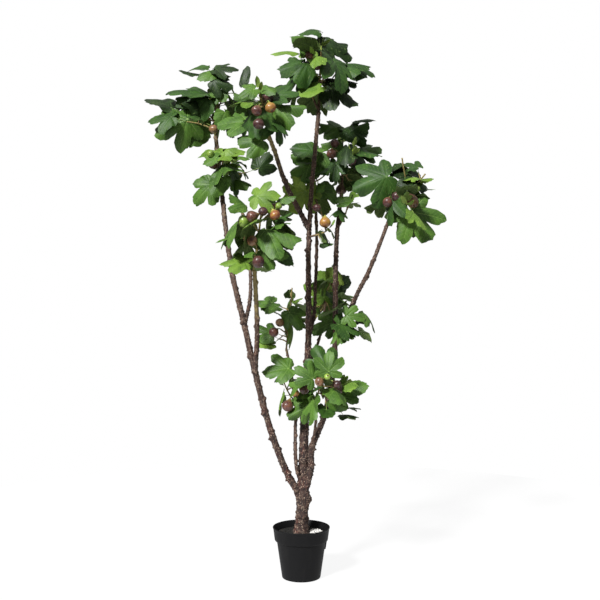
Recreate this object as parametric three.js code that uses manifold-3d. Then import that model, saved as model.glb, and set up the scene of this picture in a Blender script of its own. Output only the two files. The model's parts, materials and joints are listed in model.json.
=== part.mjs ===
import * as THREE from 'three';
import { mergeVertices } from 'three/addons/utils/BufferGeometryUtils.js';
import Module from 'manifold-3d';

// A potted fig tree, about two metres tall, in a plain nursery pot. Sizes in millimetres, +Z up,
// X to the right and Y to the back. The origin is the middle of the pot's flat underside.

const wasm = await Module();
wasm.setup();

const GAP = 0.3;

// The pot is one lathed body with a rim band and stacking lugs, filled to below the rim.
const POT = {
  rimRadius: 102.6, rimTop: 181, lip: 3.5, bandFoot: 133, bandFootRadius: 95.5,
  shoulderRadius: 88.4, footRadius: 69, footRound: 2.5, rimRound: 1, bandStep: 2, wall: 3, floor: 4, sides: 26,
};
const LUG = { count: 3, width: 9, proud: 4, sunk: 1.5, top: 134, foot: 100 };
const FILLING = { top: 158, sides: 26 };

// Trunk and boughs: each runs along a path from inside its parent and tapers to its tip.
const LIMBS = {
  trunk: {
    from: null, base: 23, tip: 6.5, taper: 2.2, sides: 8, rings: 14,
    path: [[0, 0, 148], [8, 5, 401], [13, 13, 616], [26, 16, 869], [26, 8, 1176], [37, -8, 1391],
      [62, -16, 1669]],
  },
  bough_far_left: {
    from: 'trunk', base: 12, tip: 7, taper: 1, sides: 6, rings: 13,
    path: [[4, 0, 287], [-51, -16, 376], [-111, -48, 542], [-164, -80, 750], [-204, -80, 926],
      [-247, -32, 1096], [-284, 64, 1319], [-325, 176, 1619]],
  },
  bough_left: {
    from: 'bough_far_left', base: 8.5, tip: 6.5, taper: 1, sides: 6, rings: 6,
    path: [[-164, -80, 743], [-154, -112, 857], [-154, -152, 969], [-159, -192, 1098]],
  },
  bough_left_inner: {
    from: 'bough_far_left', base: 6.5, tip: 4.2, taper: 1, sides: 5, rings: 8,
    path: [[-200, -80, 908], [-182, -56, 996], [-184, 0, 1111], [-208, 80, 1284], [-269, 168, 1447]],
  },
  stem_low_left: {
    from: 'trunk', base: 6.5, tip: 3.6, taper: 1, sides: 5, rings: 8,
    path: [[3, 0, 334], [-17, -16, 394], [-22, -13, 494], [-21, 8, 617], [-37, 32, 734], [-55, 56, 817]],
  },
  bough_right: {
    from: 'trunk', base: 11.5, tip: 6.5, taper: 1, sides: 6, rings: 12,
    path: [[5, 0, 276], [33, -13, 386], [39, -19, 470], [88, -32, 604], [119, -16, 799],
      [124, 24, 1069], [131, 64, 1235], [152, 120, 1407]],
  },
  bough_far_right: {
    from: 'bough_right', base: 8.2, tip: 5.5, taper: 1, sides: 6, rings: 7,
    path: [[126, -10, 852], [154, -32, 918], [196, -80, 1017], [242, -120, 1114], [299, -168, 1269]],
  },
  bough_upper_left: {
    from: 'trunk', base: 9, tip: 5.5, taper: 1, sides: 6, rings: 6,
    path: [[29, 3, 1255], [-5, -19, 1311], [-57, -72, 1411], [-87, -128, 1494], [-115, -176, 1569]],
  },
  stem_behind: {
    from: 'trunk', base: 5.8, tip: 4.4, taper: 1, sides: 5, rings: 7,
    path: [[26, 16, 859], [46, 42, 938], [52, 64, 1051], [57, 83, 1218], [51, 96, 1419]],
  },
  twig_low: {
    from: 'bough_right', base: 4.4, tip: 3.4, taper: 1, sides: 5, rings: 5,
    path: [[39, -19, 470], [47, -48, 528], [51, -77, 581], [46, -99, 623]],
  },
  twig_mid: {
    from: 'trunk', base: 4.6, tip: 3.4, taper: 1, sides: 5, rings: 6,
    path: [[24, 14, 750], [47, 64, 805], [70, 112, 862], [92, 176, 988]],
  },
};

// The trunk spreads where it meets the filling; knobs are old leaf scars and pruned stubs.
const FLARE = { spread: 9, height: 16, ribs: 3, ribDepth: 0.22, ribTurn: 0.6 };
const KNOB = { spacing: 95, height: 2.2, length: 9, fullRadius: 10 };
const LIMB_MARGIN = 0.05;

// Masses of foliage. Each has one lead from the limb at the fraction "at" of its length to "tip" and keeps
// within an ellipsoid of half-sizes "reach". Rows of "outer" are the leaves of its outline: the blade's
// foot from the tip (x, y, z), bearing, pitch, roll in degrees, blade length and form. Rows of "figs" are
// the place along the lead, bearing, rise and radius. The seed grows the rest: leaves on the lead, side
// shoots and their leaves and figs, with blades of about the length "leaf".
const MASSES = {
  foliage_top: {
    limb: 'trunk', at: 1, tip: [71, 16, 1900], centre: [89, 6, 1833], reach: [228, 220, 193],
    leadLeaves: 2, shoots: 2, shootLeaves: 3, leaf: 115, shootFigs: 1, seed: 79,
    outer: [
      [-30, -35, 30, -150, 15, 35, 80, 'three'],
      [-15, 15, 30, 10, 0, -50, 130, 'five'],
      [80, 30, -45, 10, -5, -45, 135, 'three'],
      [35, -45, -150, -15, -30, -55, 125, 'three'],
      [-50, -65, -65, -165, -5, 45, 120, 'three'],
      [-60, 20, -70, 170, -30, 55, 110, 'five'],
      [40, 50, -90, 15, 0, -15, 115, 'three'],
      [-10, -60, -150, -160, -20, 35, 90, 'oval'],
    ],
    figs: [[0.8, -120, 10, 16], [0.65, -60, 0, 18]],
  },
  foliage_far_left: {
    limb: 'bough_far_left', at: 1, tip: [-323, 208, 1824], centre: [-422, 203, 1731], reach: [232, 200, 200],
    leadLeaves: 2, shoots: 2, shootLeaves: 3, leaf: 112, shootFigs: 1, seed: 91,
    outer: [
      [-50, -20, -45, -175, 15, 25, 145, 'three'],
      [-175, 0, -90, 170, 30, 35, 120, 'oval'],
      [-105, -55, -145, -170, -20, 75, 155, 'five'],
      [-5, 0, 55, -25, -20, -15, 75, 'five'],
      [-55, 20, 40, 175, 10, 15, 110, 'bud'],
      [-80, -20, -140, -155, -80, 60, 125, 'oval'],
    ],
    figs: [[0.15, -105, 0, 17]],
  },
  foliage_upper_left: {
    limb: 'bough_upper_left', at: 1, tip: [-131, -232, 1691], centre: [-135, -227, 1652], reach: [190, 170, 200],
    leadLeaves: 2, shoots: 2, shootLeaves: 3, leaf: 105, shootFigs: 1, seed: 19,
    outer: [
      [-50, 35, -95, 170, 5, 45, 120, 'three'],
      [0, -15, -165, -175, 0, 85, 95, 'three'],
      [55, -15, -55, -15, 5, -55, 95, 'three'],
      [-45, 55, 10, 155, -30, 55, 90, 'three'],
      [-65, 25, 25, -40, 80, -115, 85, 'bud'],
    ],
    figs: [[0.5, -150, -10, 17], [0.15, -120, -10, 17], [0.6, -10, 10, 17]],
  },
  foliage_far_right: {
    limb: 'bough_far_right', at: 1, tip: [370, -200, 1374], centre: [344, -195, 1314], reach: [225, 200, 212],
    leadLeaves: 2, shoots: 2, shootLeaves: 3, leaf: 108, shootFigs: 1, seed: 30,
    outer: [
      [5, -45, -85, -20, -60, -70, 125, 'three'],
      [-85, -25, 35, -175, -20, 80, 125, 'five'],
      [-15, 65, 70, 165, 5, 10, 130, 'three'],
      [35, 0, -5, -10, 0, -15, 50, 'bud'],
    ],
    figs: [[0.45, -180, 20, 17], [0.7, -75, -10, 17], [0.6, 0, 10, 17], [1.0, 45, 20, 15]],
  },
  foliage_right_upper: {
    limb: 'bough_right', at: 1, tip: [157, 152, 1607], centre: [187, 147, 1550], reach: [160, 165, 185],
    leadLeaves: 2, shoots: 2, shootLeaves: 3, leaf: 100, shootFigs: 1, seed: 83,
    outer: [
      [-5, 5, 40, 170, 15, 25, 90, 'three'],
      [25, -25, 20, -10, 20, -70, 85, 'three'],
      [25, -55, -55, -10, -5, -25, 125, 'oval'],
      [45, 25, -60, 15, -35, -70, 85, 'three'],
    ],
    figs: [[0.9, -180, 0, 16], [0.65, -180, 10, 17]],
  },
  foliage_centre: {
    limb: 'stem_behind', at: 1, tip: [40, 96, 1515], centre: [17, 86, 1425], reach: [165, 155, 185],
    leadLeaves: 3, shoots: 1, shootLeaves: 3, leaf: 98, shootFigs: 0, seed: 98,
    outer: [
      [-45, -50, -145, -120, 85, 150, 100, 'five'],
      [35, 15, 30, -180, -5, 60, 120, 'three'],
    ],
    figs: [],
  },
  foliage_left: {
    limb: 'bough_left', at: 1, tip: [-131, -240, 1312], centre: [-134, -240, 1229], reach: [190, 160, 195],
    leadLeaves: 2, shoots: 2, shootLeaves: 3, leaf: 98, shootFigs: 1, seed: 11,
    outer: [
      [15, -40, -90, -10, -10, -35, 135, 'three'],
      [-10, -40, -150, -10, -5, -80, 90, 'three'],
      [-55, 0, -190, 180, 10, 35, 90, 'three'],
      [-15, -20, 25, -15, 10, -80, 90, 'five'],
      [-70, -15, -110, -175, 10, 10, 90, 'bud'],
      [60, 0, -165, 0, -35, -60, 60, 'oval'],
    ],
    figs: [
      [0.1, -60, 10, 20], [0.8, -180, 10, 17], [0.85, -45, 0, 16], [0.65, 40, 0, 16], [1.0, 75, 10, 12],
      [0.35, -120, 0, 16], [0.5, -180, 10, 13],
    ],
  },
  foliage_low_centre: {
    limb: 'twig_low', at: 1, tip: [77, -176, 751], centre: [67, -166, 720], reach: [145, 140, 165],
    leadLeaves: 3, shoots: 2, shootLeaves: 3, leaf: 98, shootFigs: 1, seed: 9,
    outer: [
      [15, -40, 5, 0, 90, -90, 85, 'five'],
      [5, 5, 20, 160, 60, 70, 95, 'three'],
      [-40, -20, -20, -165, 35, 95, 80, 'five'],
      [25, -20, -95, -25, -25, -75, 60, 'oval'],
    ],
    figs: [[0.7, -120, 0, 17], [0.75, 0, 10, 16], [1.0, -45, 20, 12]],
  },
  foliage_mid: {
    limb: 'twig_mid', at: 1, tip: [91, 200, 1065], centre: [101, 160, 988], reach: [150, 165, 180],
    leadLeaves: 2, shoots: 1, shootLeaves: 3, leaf: 98, shootFigs: 1, seed: 88,
    outer: [
      [-5, -40, -60, -140, 80, 130, 115, 'five'],
      [30, -115, -150, -175, -20, 55, 95, 'three'],
      [40, 25, -25, 10, 45, -65, 85, 'oval'],
    ],
    figs: [[0.1, 150, -20, 16]],
  },
  foliage_low_left: {
    limb: 'stem_low_left', at: 1, tip: [-38, 96, 977], centre: [-79, 86, 933], reach: [130, 125, 140],
    leadLeaves: 2, shoots: 1, shootLeaves: 3, leaf: 86, shootFigs: 0, seed: 42,
    outer: [
      [-50, -20, -5, -175, 15, 25, 85, 'three'],
      [-70, 5, -100, 165, 25, 45, 90, 'three'],
      [-5, -65, -25, -25, -50, -65, 75, 'three'],
    ],
    figs: [[0.8, -90, 10, 15], [0.65, -180, 10, 17], [0.3, -150, 0, 17]],
  },
  foliage_left_side: {
    limb: 'bough_far_left', at: 0.93, tip: [-288, 64, 1510], centre: [-313, 59, 1447], reach: [138, 120, 148],
    leadLeaves: 1, shoots: 1, shootLeaves: 3, leaf: 88, shootFigs: 0, seed: 13,
    outer: [
      [0, -30, -70, -160, -65, 75, 80, 'oval'],
      [-45, -10, -85, -170, -45, 75, 110, 'three'],
      [0, -20, 10, -15, 5, -35, 90, 'three'],
    ],
    figs: [[0.45, -180, 0, 16], [0.9, 150, 20, 12]],
  },
  foliage_left_back: {
    limb: 'bough_left_inner', at: 1, tip: [-265, 200, 1520], centre: [-219, 190, 1499], reach: [155, 100, 110],
    leadLeaves: 3, shoots: 0, shootLeaves: 3, leaf: 80, shootFigs: 1, seed: 62,
    outer: [
      [105, -35, -25, -15, 55, -95, 80, 'three'],
    ],
    figs: [[0.55, -90, 0, 16]],
  },
  foliage_low_side: {
    limb: 'stem_low_left', at: 0.62, tip: [-66, -16, 717], centre: [-54, -44, 666], reach: [130, 120, 150],
    leadLeaves: 2, shoots: 0, shootLeaves: 3, leaf: 84, shootFigs: 0, seed: 101,
    outer: [
      [20, -20, 35, -170, -5, 45, 100, 'three'],
      [85, -60, -95, -170, -30, 80, 80, 'three'],
    ],
    figs: [[0.35, -45, 10, 16], [0.1, -135, -30, 19]],
  },
  foliage_mid_right: {
    limb: 'bough_far_right', at: 0.18, tip: [174, -80, 961], centre: [174, -80, 936], reach: [118, 105, 120],
    leadLeaves: 3, shoots: 0, shootLeaves: 3, leaf: 84, shootFigs: 0, seed: 91,
    outer: [
      [-15, -20, -20, -10, -5, -75, 65, 'five'],
      [-45, -25, -50, -5, -20, -35, 100, 'three'],
    ],
    figs: [],
  },
  foliage_low_right: {
    limb: 'bough_right', at: 0.42, tip: [146, -96, 678], centre: [170, -98, 671], reach: [115, 95, 92],
    leadLeaves: 2, shoots: 0, shootLeaves: 3, leaf: 78, shootFigs: 0, seed: 47,
    outer: [
      [-10, -10, -15, -10, -15, -75, 70, 'three'],
      [20, -30, 15, -10, 10, -45, 70, 'oval'],
    ],
    figs: [],
  },
  foliage_right_inner: {
    limb: 'bough_right', at: 0.88, tip: [170, 40, 1342], centre: [159, 37, 1346], reach: [90, 88, 95],
    leadLeaves: 3, shoots: 0, shootLeaves: 3, leaf: 72, shootFigs: 0, seed: 82,
    outer: [
      [-30, -15, 5, -10, 15, -60, 55, 'oval'],
    ],
    figs: [[0.5, -150, 0, 14]],
  },
  foliage_spur: {
    limb: 'trunk', at: 0.7, tip: [88, -40, 1241], centre: [74, -35, 1220], reach: [78, 78, 88],
    leadLeaves: 3, shoots: 0, shootLeaves: 3, leaf: 66, shootFigs: 0, seed: 13,
    outer: [],
    figs: [[1.0, -90, 40, 19]],
  },
};

// Sizes shared by every leaf. The outlines further down are fractions of the blade's length.
const LEAF = { thickness: 0.018, outerCurl: 0.22, neck: -0.03, footReach: 0.95, footShare: 0.62, footRise: 0.08 };
const PETIOLE = { half: 1.3, footHalf: 0.7, sunk: 0.4, clearAt: [0.45, 0.75] };
const SAMPLE_RADII = [0.35, 0.7, 1];

// A fig with its stalk is one turned body: places along its axis and radii, as fractions of its radius.
const FIG = { profile: [[-0.95, 0.28], [-0.15, 1], [0.88, 0.58]], sides: 5, stalkEnd: 0.05, stalk: 10 };

// Twigs: the lead of a mass, the side shoots and the short twigs of outer leaves.
const LEAD = { limbShare: 0.9, sideShare: 0.6, most: 4, tip: 2.2, sides: 4, rings: 3, bend: 0.25, sag: 0.3 };
const SHOOT = { base: 3.2, tip: 2, sides: 3, rings: 2 };
const SPUR = { base: 2.8, tip: 2, sides: 3, rings: 2 };
const TWIG_PARTS = 4;

// The seeded rule. Angles in degrees, lengths in millimetres or as fractions of the reach or the blade.
const SHOOT_RULE = {
  tries: 10, along: [0.15, 0.75], rise: [-5, 62], length: [0.3, 0.6], sag: 8, slack: 0.82,
};
const FIG_RULE = {
  tries: 8, along: [0.3, 0.92], first: [14.5, 19.5], later: [9.5, 15], forward: 0.5, stalk: 9, slack: 0.85,
};
const LEAF_RULE = {
  tries: 12, along: [0.3, 1], turn: 0.5, retryTurn: 1.1, spreadOld: [55, 95], spreadYoung: [20, 60],
  size: [0.8, 1.15], youngLess: 0.35, petiole: [0.3, 0.62], pitchOld: [-82, 8], pitchYoung: [-45, 60],
  bearing: 0.6, roll: 50, curl: [0.1, 0.42], droop: 0.06, fold: -0.7,
};
const FORM_RULE = { youngFrom: 0.85, smallUnder: 70, youngOval: 0.4, five: 0.5, three: 0.84 };
const SEED_STEPS = { seed: 7919, mass: 104729, shoot: 1299709 };

// Clear distances kept while growing.
const CLEAR = {
  leafLimb: 10, petioleLimb: 5, leafOwnTwig: 5.5, leafOtherTwig: 10, leafOther: 14, leafOwn: 8.5,
  leafFig: 6, petioleFig: 3, shootLimb: 14, shootTwig: 14, shootOwn: 12, shootLeaf: 16, shootOwnLeaf: 10,
  figLimb: 6, figTwig: 6, figOwnTwig: 1, figOtherLeaf: 9, figOwnLeaf: 5, figFig: 2,
};

const rad = THREE.MathUtils.degToRad;
const vec = (x, y, z) => new THREE.Vector3(x, y, z);
const UP = vec(0, 0, 1);
const FULL_TURN = 2 * Math.PI;
const GOLDEN_ANGLE = rad(137.508);

function material(color, roughness, metalness = 0) {
  return new THREE.MeshStandardMaterial({ color, roughness, metalness });
}
const BLACK_PLASTIC = material(0x1b1b1d, 0.55);
const DARK_FILLING = material(0x1d1a18, 0.95);
const BARK = material(0x6b554b, 0.85);
const FOLIAGE = material(0x2f6b2c, 0.5);

// Seeded random numbers in 0..1, and between two ends.
function randomFrom(seed) {
  let state = seed | 0;
  const next = () => {
    state = (state + 0x6D2B79F5) | 0;
    let t = Math.imul(state ^ (state >>> 15), state | 1);
    t = (t + Math.imul(t ^ (t >>> 7), t | 61)) ^ t;
    return ((t ^ (t >>> 14)) >>> 0) / 4294967296;
  };
  next.between = (low, high) => low + (high - low) * next();
  return next;
}

// ---------------------------------------------------------------- solids

function toSolid(geometry) {
  const bare = geometry.clone();
  bare.deleteAttribute('normal');
  bare.deleteAttribute('uv');
  const merged = mergeVertices(bare, 1e-4);
  const faces = [];
  const index = merged.index.array;
  for (let i = 0; i < index.length; i += 3) {
    const [a, b, c] = [index[i], index[i + 1], index[i + 2]];
    if (a !== b && b !== c && c !== a) faces.push(a, b, c);
  }
  const mesh = new wasm.Mesh({
    numProp: 3,
    vertProperties: new Float32Array(merged.attributes.position.array),
    triVerts: new Uint32Array(faces),
  });
  return new wasm.Manifold(mesh);
}

function toGeometry(solid) {
  const mesh = solid.getMesh();
  const geometry = new THREE.BufferGeometry();
  geometry.setAttribute('position', new THREE.BufferAttribute(Float32Array.from(mesh.vertProperties), 3));
  geometry.setIndex(Array.from(mesh.triVerts));
  geometry.computeVertexNormals();
  return geometry;
}

function addNode(group, name, solid, look) {
  const mesh = new THREE.Mesh(toGeometry(solid), look);
  mesh.name = name;
  group.add(mesh);
}

function largest(solid) {
  const pieces = solid.decompose();
  pieces.sort((a, b) => b.volume() - a.volume());
  return pieces[0];
}

// A closed cylinder moved point by point: move(side, along 0..1, onRim) gives the new place.
function shaped(sides, rings, move) {
  const geometry = new THREE.CylinderGeometry(1, 1, 1, sides, rings);
  const position = geometry.attributes.position;
  for (let i = 0; i < position.count; i += 1) {
    const onRim = Math.hypot(position.getX(i), position.getZ(i)) > 0.5;
    const turn = Math.atan2(position.getX(i), position.getZ(i)) / FULL_TURN;
    const side = (Math.round(turn * sides) + sides) % sides;
    const point = move(side, position.getY(i) + 0.5, onRim);
    position.setXYZ(i, point.x, point.y, point.z);
  }
  return geometry;
}

// Places and directions along a curve that turn as little as they can.
function framesAlong(curve, rings) {
  const frames = [];
  let side = Math.abs(curve.getTangent(0).x) < 0.9 ? vec(1, 0, 0) : vec(0, 1, 0);
  for (let i = 0; i <= rings; i += 1) {
    const at = curve.getPoint(i / rings);
    const along = curve.getTangent(i / rings).normalize();
    side = side.clone().addScaledVector(along, -side.dot(along)).normalize();
    frames.push({ at, along, side, cross: along.clone().cross(side) });
  }
  return frames;
}

// A point at an angle and radius round a place on a curve.
function around(frame, angle, r) {
  return frame.at.clone()
    .addScaledVector(frame.side, r * Math.cos(angle))
    .addScaledVector(frame.cross, r * Math.sin(angle));
}

// A tube along a curve. Its radius is a function of the fraction and the angle, and "stretch" moves its end on.
function tube(curve, sides, rings, radius, stretch = 0) {
  const frames = framesAlong(curve, rings);
  frames[rings].at.addScaledVector(frames[rings].along, stretch);
  return shaped(sides, rings, (side, along, onRim) => {
    const angle = FULL_TURN * side / sides;
    return around(frames[Math.round(along * rings)], angle, onRim ? radius(along, angle) : 0);
  });
}

// ---------------------------------------------------------------- pot

function latheUpright(points, sides) {
  const geometry = new THREE.LatheGeometry(points.map(([r, z]) => new THREE.Vector2(r, z)), sides);
  return geometry.rotateX(Math.PI / 2);
}

function wallRadius(z) {
  return POT.footRadius + (POT.shoulderRadius - POT.footRadius) * z / POT.bandFoot;
}

function lugGeometry() {
  const edge = (z, out) => new THREE.Vector2(wallRadius(z) + out, z);
  const side = new THREE.Shape([
    edge(LUG.top, -LUG.sunk), edge(LUG.foot, -LUG.sunk), edge(LUG.foot, LUG.proud), edge(LUG.top, LUG.proud),
  ]);
  const lug = new THREE.ExtrudeGeometry(side, { depth: LUG.width, bevelEnabled: false });
  return lug.translate(0, 0, -LUG.width / 2).rotateX(Math.PI / 2);
}

function potSolid() {
  const p = POT;
  const inner = (z) => wallRadius(z) - p.wall;
  const profile = [
    [0, 0], [p.footRadius - p.footRound, 0], [p.footRadius, p.footRound],
    [p.shoulderRadius, p.bandFoot], [p.bandFootRadius, p.bandFoot + p.bandStep],
    [p.rimRadius - p.rimRound, p.rimTop - p.lip - p.rimRound], [p.rimRadius, p.rimTop - p.lip],
    [p.rimRadius, p.rimTop - p.rimRound], [p.rimRadius - p.rimRound, p.rimTop], [p.rimRadius - p.lip, p.rimTop],
    [inner(FILLING.top), FILLING.top], [inner(p.floor), p.floor], [0, p.floor],
  ];
  let solid = toSolid(latheUpright(profile, p.sides));
  for (let i = 0; i < LUG.count; i += 1) {
    solid = solid.add(toSolid(lugGeometry().rotateZ(i * FULL_TURN / LUG.count)));
  }
  return solid;
}

function fillingSolid() {
  const foot = POT.floor + GAP;
  const radius = (z) => wallRadius(z) - POT.wall - 2 * GAP;
  const profile = [[0, foot], [radius(foot), foot], [radius(FILLING.top), FILLING.top], [0, FILLING.top]];
  return toSolid(latheUpright(profile, FILLING.sides));
}

// ---------------------------------------------------------------- trunk and boughs

for (const limb of Object.values(LIMBS)) {
  limb.curve = new THREE.CatmullRomCurve3(limb.path.map((p) => vec(...p)), false, 'catmullrom', 0.5);
}

function limbRadius(limb, along) {
  return limb.tip + (limb.base - limb.tip) * (1 - along) ** limb.taper;
}

// Knobs come round the limb by the golden angle, at even spacing along it.
function knobHeight(limb, along, angle) {
  const length = limb.curve.getLength();
  const count = Math.max(2, Math.round(length / KNOB.spacing));
  let height = 0;
  for (let i = 1; i < count; i += 1) {
    const away = (along - i / count) * length / KNOB.length;
    const facing = Math.max(0, Math.cos(angle - i * GOLDEN_ANGLE));
    height += KNOB.height * facing * facing * Math.exp(-away * away);
  }
  return height * Math.min(1, limbRadius(limb, along) / KNOB.fullRadius);
}

function flareWidth(limb, along, angle) {
  const above = Math.max(0, limb.curve.getPoint(along).z - FILLING.top);
  const rib = 1 + FLARE.ribDepth * Math.cos(FLARE.ribs * angle + FLARE.ribTurn);
  return FLARE.spread * rib * Math.exp(-above / FLARE.height);
}

// A limb's surface, moved out by "extra".
function limbGeometry(limb, extra) {
  const radius = (along, angle) => {
    const bare = limbRadius(limb, along) + knobHeight(limb, along, angle) + extra;
    return limb.from === null ? bare + flareWidth(limb, along, angle) : bare;
  };
  return tube(limb.curve, limb.sides, limb.rings, radius, extra);
}

// A solid loses what lies inside a limb, with a fine gap left between them.
function clearOfLimb(solid, name) {
  return largest(solid.subtract(toSolid(limbGeometry(LIMBS[name], GAP + LIMB_MARGIN))));
}

function cutFlat(solid, height) {
  const size = 3 * POT.rimRadius;
  const block = new THREE.BoxGeometry(size, size, size);
  block.translate(0, 0, height - size / 2);
  return solid.subtract(toSolid(block));
}

function limbSolid(limb) {
  const solid = toSolid(limbGeometry(limb, 0));
  return limb.from === null ? cutFlat(solid, FILLING.top + GAP) : clearOfLimb(solid, limb.from);
}

// ---------------------------------------------------------------- leaves

const polar = (angle, r) => [r * Math.cos(rad(angle)), r * Math.sin(rad(angle))];

// The pointed middle lobe, with half its width at the widest.
const midLobe = (half) => [[0.62, -half], [1, 0], [0.62, half]];

function outline(middle, side) {
  const mirrored = side.map(([x, y]) => [x, -y]).reverse();
  return [...mirrored, ...middle, ...side];
}

const OUTLINES = {
  five: outline(
    midLobe(0.2), [polar(27, 0.43), polar(49, 0.87), polar(67, 0.6), polar(84, 0.35), polar(108, 0.6)],
  ),
  three: outline(midLobe(0.25), [polar(30, 0.53), polar(52, 0.8), polar(76, 0.56), polar(125, 0.42)]),
  oval: outline([polar(0, 1)], [polar(26, 0.8), polar(66, 0.52), polar(135, 0.4)]),
  bud: outline([polar(0, 1)], [polar(14, 0.7), polar(50, 0.26)]),
};

// Points of each outline that are kept clear of everything else.
const SAMPLES = {};
for (const [form, points] of Object.entries(OUTLINES)) {
  const following = (i) => points[(i + 1) % points.length];
  SAMPLES[form] = [
    [0, 0],
    ...SAMPLE_RADII.flatMap((r) => points.map(([u, v]) => [u * r, v * r])),
    ...points.map(([u, v], i) => [(u + following(i)[0]) / 2, (v + following(i)[1]) / 2]),
  ];
}

// The blade's own directions: e1 along it, e2 across it and the normal out of its upper side.
function bladeFrame(bearing, pitch, roll) {
  const [cb, sb, cp, sp] = [Math.cos(bearing), Math.sin(bearing), Math.cos(pitch), Math.sin(pitch)];
  const e1 = vec(cb * cp, sb * cp, sp);
  const level = vec(-cb * sp, -sb * sp, cp);
  const across = level.clone().cross(e1);
  const normal = level.multiplyScalar(Math.cos(roll)).addScaledVector(across, Math.sin(roll));
  return { e1, e2: normal.clone().cross(e1), normal };
}

function bladePoint(leaf, [u, v]) {
  return leaf.hub.clone()
    .addScaledVector(leaf.e1, leaf.size * u)
    .addScaledVector(leaf.e2, leaf.size * v)
    .addScaledVector(leaf.normal, -leaf.size * leaf.curl * (u * u + v * v));
}

// Blade and petiole are one sheet: the rim goes round the blade, then back along the petiole to the twig.
function leafGeometry(leaf) {
  const points = OUTLINES[leaf.form];
  const rim = points.length;
  const thick = LEAF.thickness * leaf.size;
  const along = leaf.hub.clone().sub(leaf.foot).normalize();
  const aside = leaf.e2.clone().addScaledVector(along, -leaf.e2.dot(along)).normalize();
  const above = along.clone().cross(aside);
  const neck = { at: bladePoint(leaf, [LEAF.neck, 0]), half: PETIOLE.half };
  const foot = { at: leaf.foot.clone().addScaledVector(along, -PETIOLE.sunk), half: PETIOLE.footHalf };
  const stations = [[neck, 1], [foot, 1], [foot, -1], [neck, -1]];
  return shaped(rim + stations.length, 1, (side, upper, onRim) => {
    const offset = upper - 0.5;
    if (!onRim) return leaf.hub.clone().addScaledVector(leaf.normal, offset * thick);
    if (side < rim) return bladePoint(leaf, points[side]).addScaledVector(leaf.normal, offset * thick);
    const [{ at, half }, hand] = stations[side - rim];
    return at.clone().addScaledVector(aside, hand * half).addScaledVector(above, 2 * offset * half);
  });
}

// ---------------------------------------------------------------- figs and twigs

function figGeometry(fig) {
  const rings = [[-fig.centre.distanceTo(fig.root) / fig.radius, FIG.stalkEnd], ...FIG.profile];
  const [frame] = framesAlong(new THREE.LineCurve3(fig.root, fig.centre), 1);
  return shaped(FIG.sides, rings.length - 1, (side, along, onRim) => {
    const [place, wide] = rings[Math.round(along * (rings.length - 1))];
    const point = around(frame, FULL_TURN * side / FIG.sides, onRim ? wide * fig.radius : 0);
    return point.sub(fig.root).add(fig.centre).addScaledVector(frame.along, place * fig.radius);
  });
}

function twigBetween(start, middle, end, size) {
  return { ...size, curve: new THREE.QuadraticBezierCurve3(start, middle, end) };
}

function twigRadius(twig, along) {
  return twig.base + (twig.tip - twig.base) * along;
}

function twigGeometry(twig) {
  return tube(twig.curve, twig.sides, twig.rings, (along) => twigRadius(twig, along));
}

// The place on a twig's own axis, which runs straight from ring to ring.
function axisPoint(twig, along) {
  const ring = Math.min(twig.rings - 1, Math.floor(along * twig.rings));
  const from = twig.curve.getPoint(ring / twig.rings);
  return from.lerp(twig.curve.getPoint((ring + 1) / twig.rings), along * twig.rings - ring);
}

// ---------------------------------------------------------------- distances

function capsulesOf(curve, count, radius) {
  const found = [];
  for (let i = 0; i < count; i += 1) {
    const from = curve.getPoint(i / count);
    const to = curve.getPoint((i + 1) / count);
    found.push({ from, step: to.clone().sub(from), radius: radius(i / count) });
  }
  return found;
}

function twigCapsules(twig) {
  return capsulesOf(twig.curve, TWIG_PARTS, (along) => twigRadius(twig, along));
}

function distanceToCapsules(points, capsules) {
  let least = Infinity;
  const rest = vec(0, 0, 0);
  for (const { from, step, radius } of capsules) {
    for (const p of points) {
      rest.copy(p).sub(from);
      const t = THREE.MathUtils.clamp(rest.dot(step) / step.lengthSq(), 0, 1);
      rest.addScaledVector(step, -t);
      least = Math.min(least, rest.length() - radius);
    }
  }
  return least;
}

function distanceToPoints(points, others) {
  let least = Infinity;
  for (const p of points) {
    for (const q of others) least = Math.min(least, p.distanceToSquared(q));
  }
  return Math.sqrt(least);
}

function distanceToFigs(points, figs) {
  let least = Infinity;
  for (const fig of figs) {
    for (const p of points) least = Math.min(least, p.distanceTo(fig.centre) - fig.radius);
  }
  return least;
}

function insideReach(mass, points, slack) {
  const [cx, cy, cz] = mass.spec.centre;
  const [rx, ry, rz] = mass.spec.reach;
  return points.every((p) => ((p.x - cx) / rx) ** 2 + ((p.y - cy) / ry) ** 2 + ((p.z - cz) / rz) ** 2 <= slack);
}

// ---------------------------------------------------------------- growing

const limbCapsules = [];
for (const limb of Object.values(LIMBS)) {
  const count = TWIG_PARTS * (limb.path.length - 1);
  limbCapsules.push(...capsulesOf(limb.curve, count, (along) => limbRadius(limb, along)));
}

function leadOf(spec) {
  const limb = LIMBS[spec.limb];
  const root = limb.curve.getPoint(spec.at);
  const tip = vec(...spec.tip);
  const middle = root.clone().add(tip).multiplyScalar(0.5);
  let base = LEAD.limbShare * limbRadius(limb, 1);
  if (spec.at < 1) {
    base = Math.min(LEAD.sideShare * limbRadius(limb, spec.at), LEAD.most);
    middle.add(vec(tip.x - root.x, tip.y - root.y, -LEAD.sag * (tip.z - root.z)).multiplyScalar(LEAD.bend));
  }
  return twigBetween(root, middle, tip, { base, tip: LEAD.tip, sides: LEAD.sides, rings: LEAD.rings });
}

// One record for each mass, with its twigs, leaves and figs, and the capsules and points kept clear.
const grown = Object.entries(MASSES).map(([name, spec]) => {
  const lead = leadOf(spec);
  return { name, spec, lead, twigs: [lead], leaves: [], figs: [], capsules: twigCapsules(lead), points: [] };
});

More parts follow.
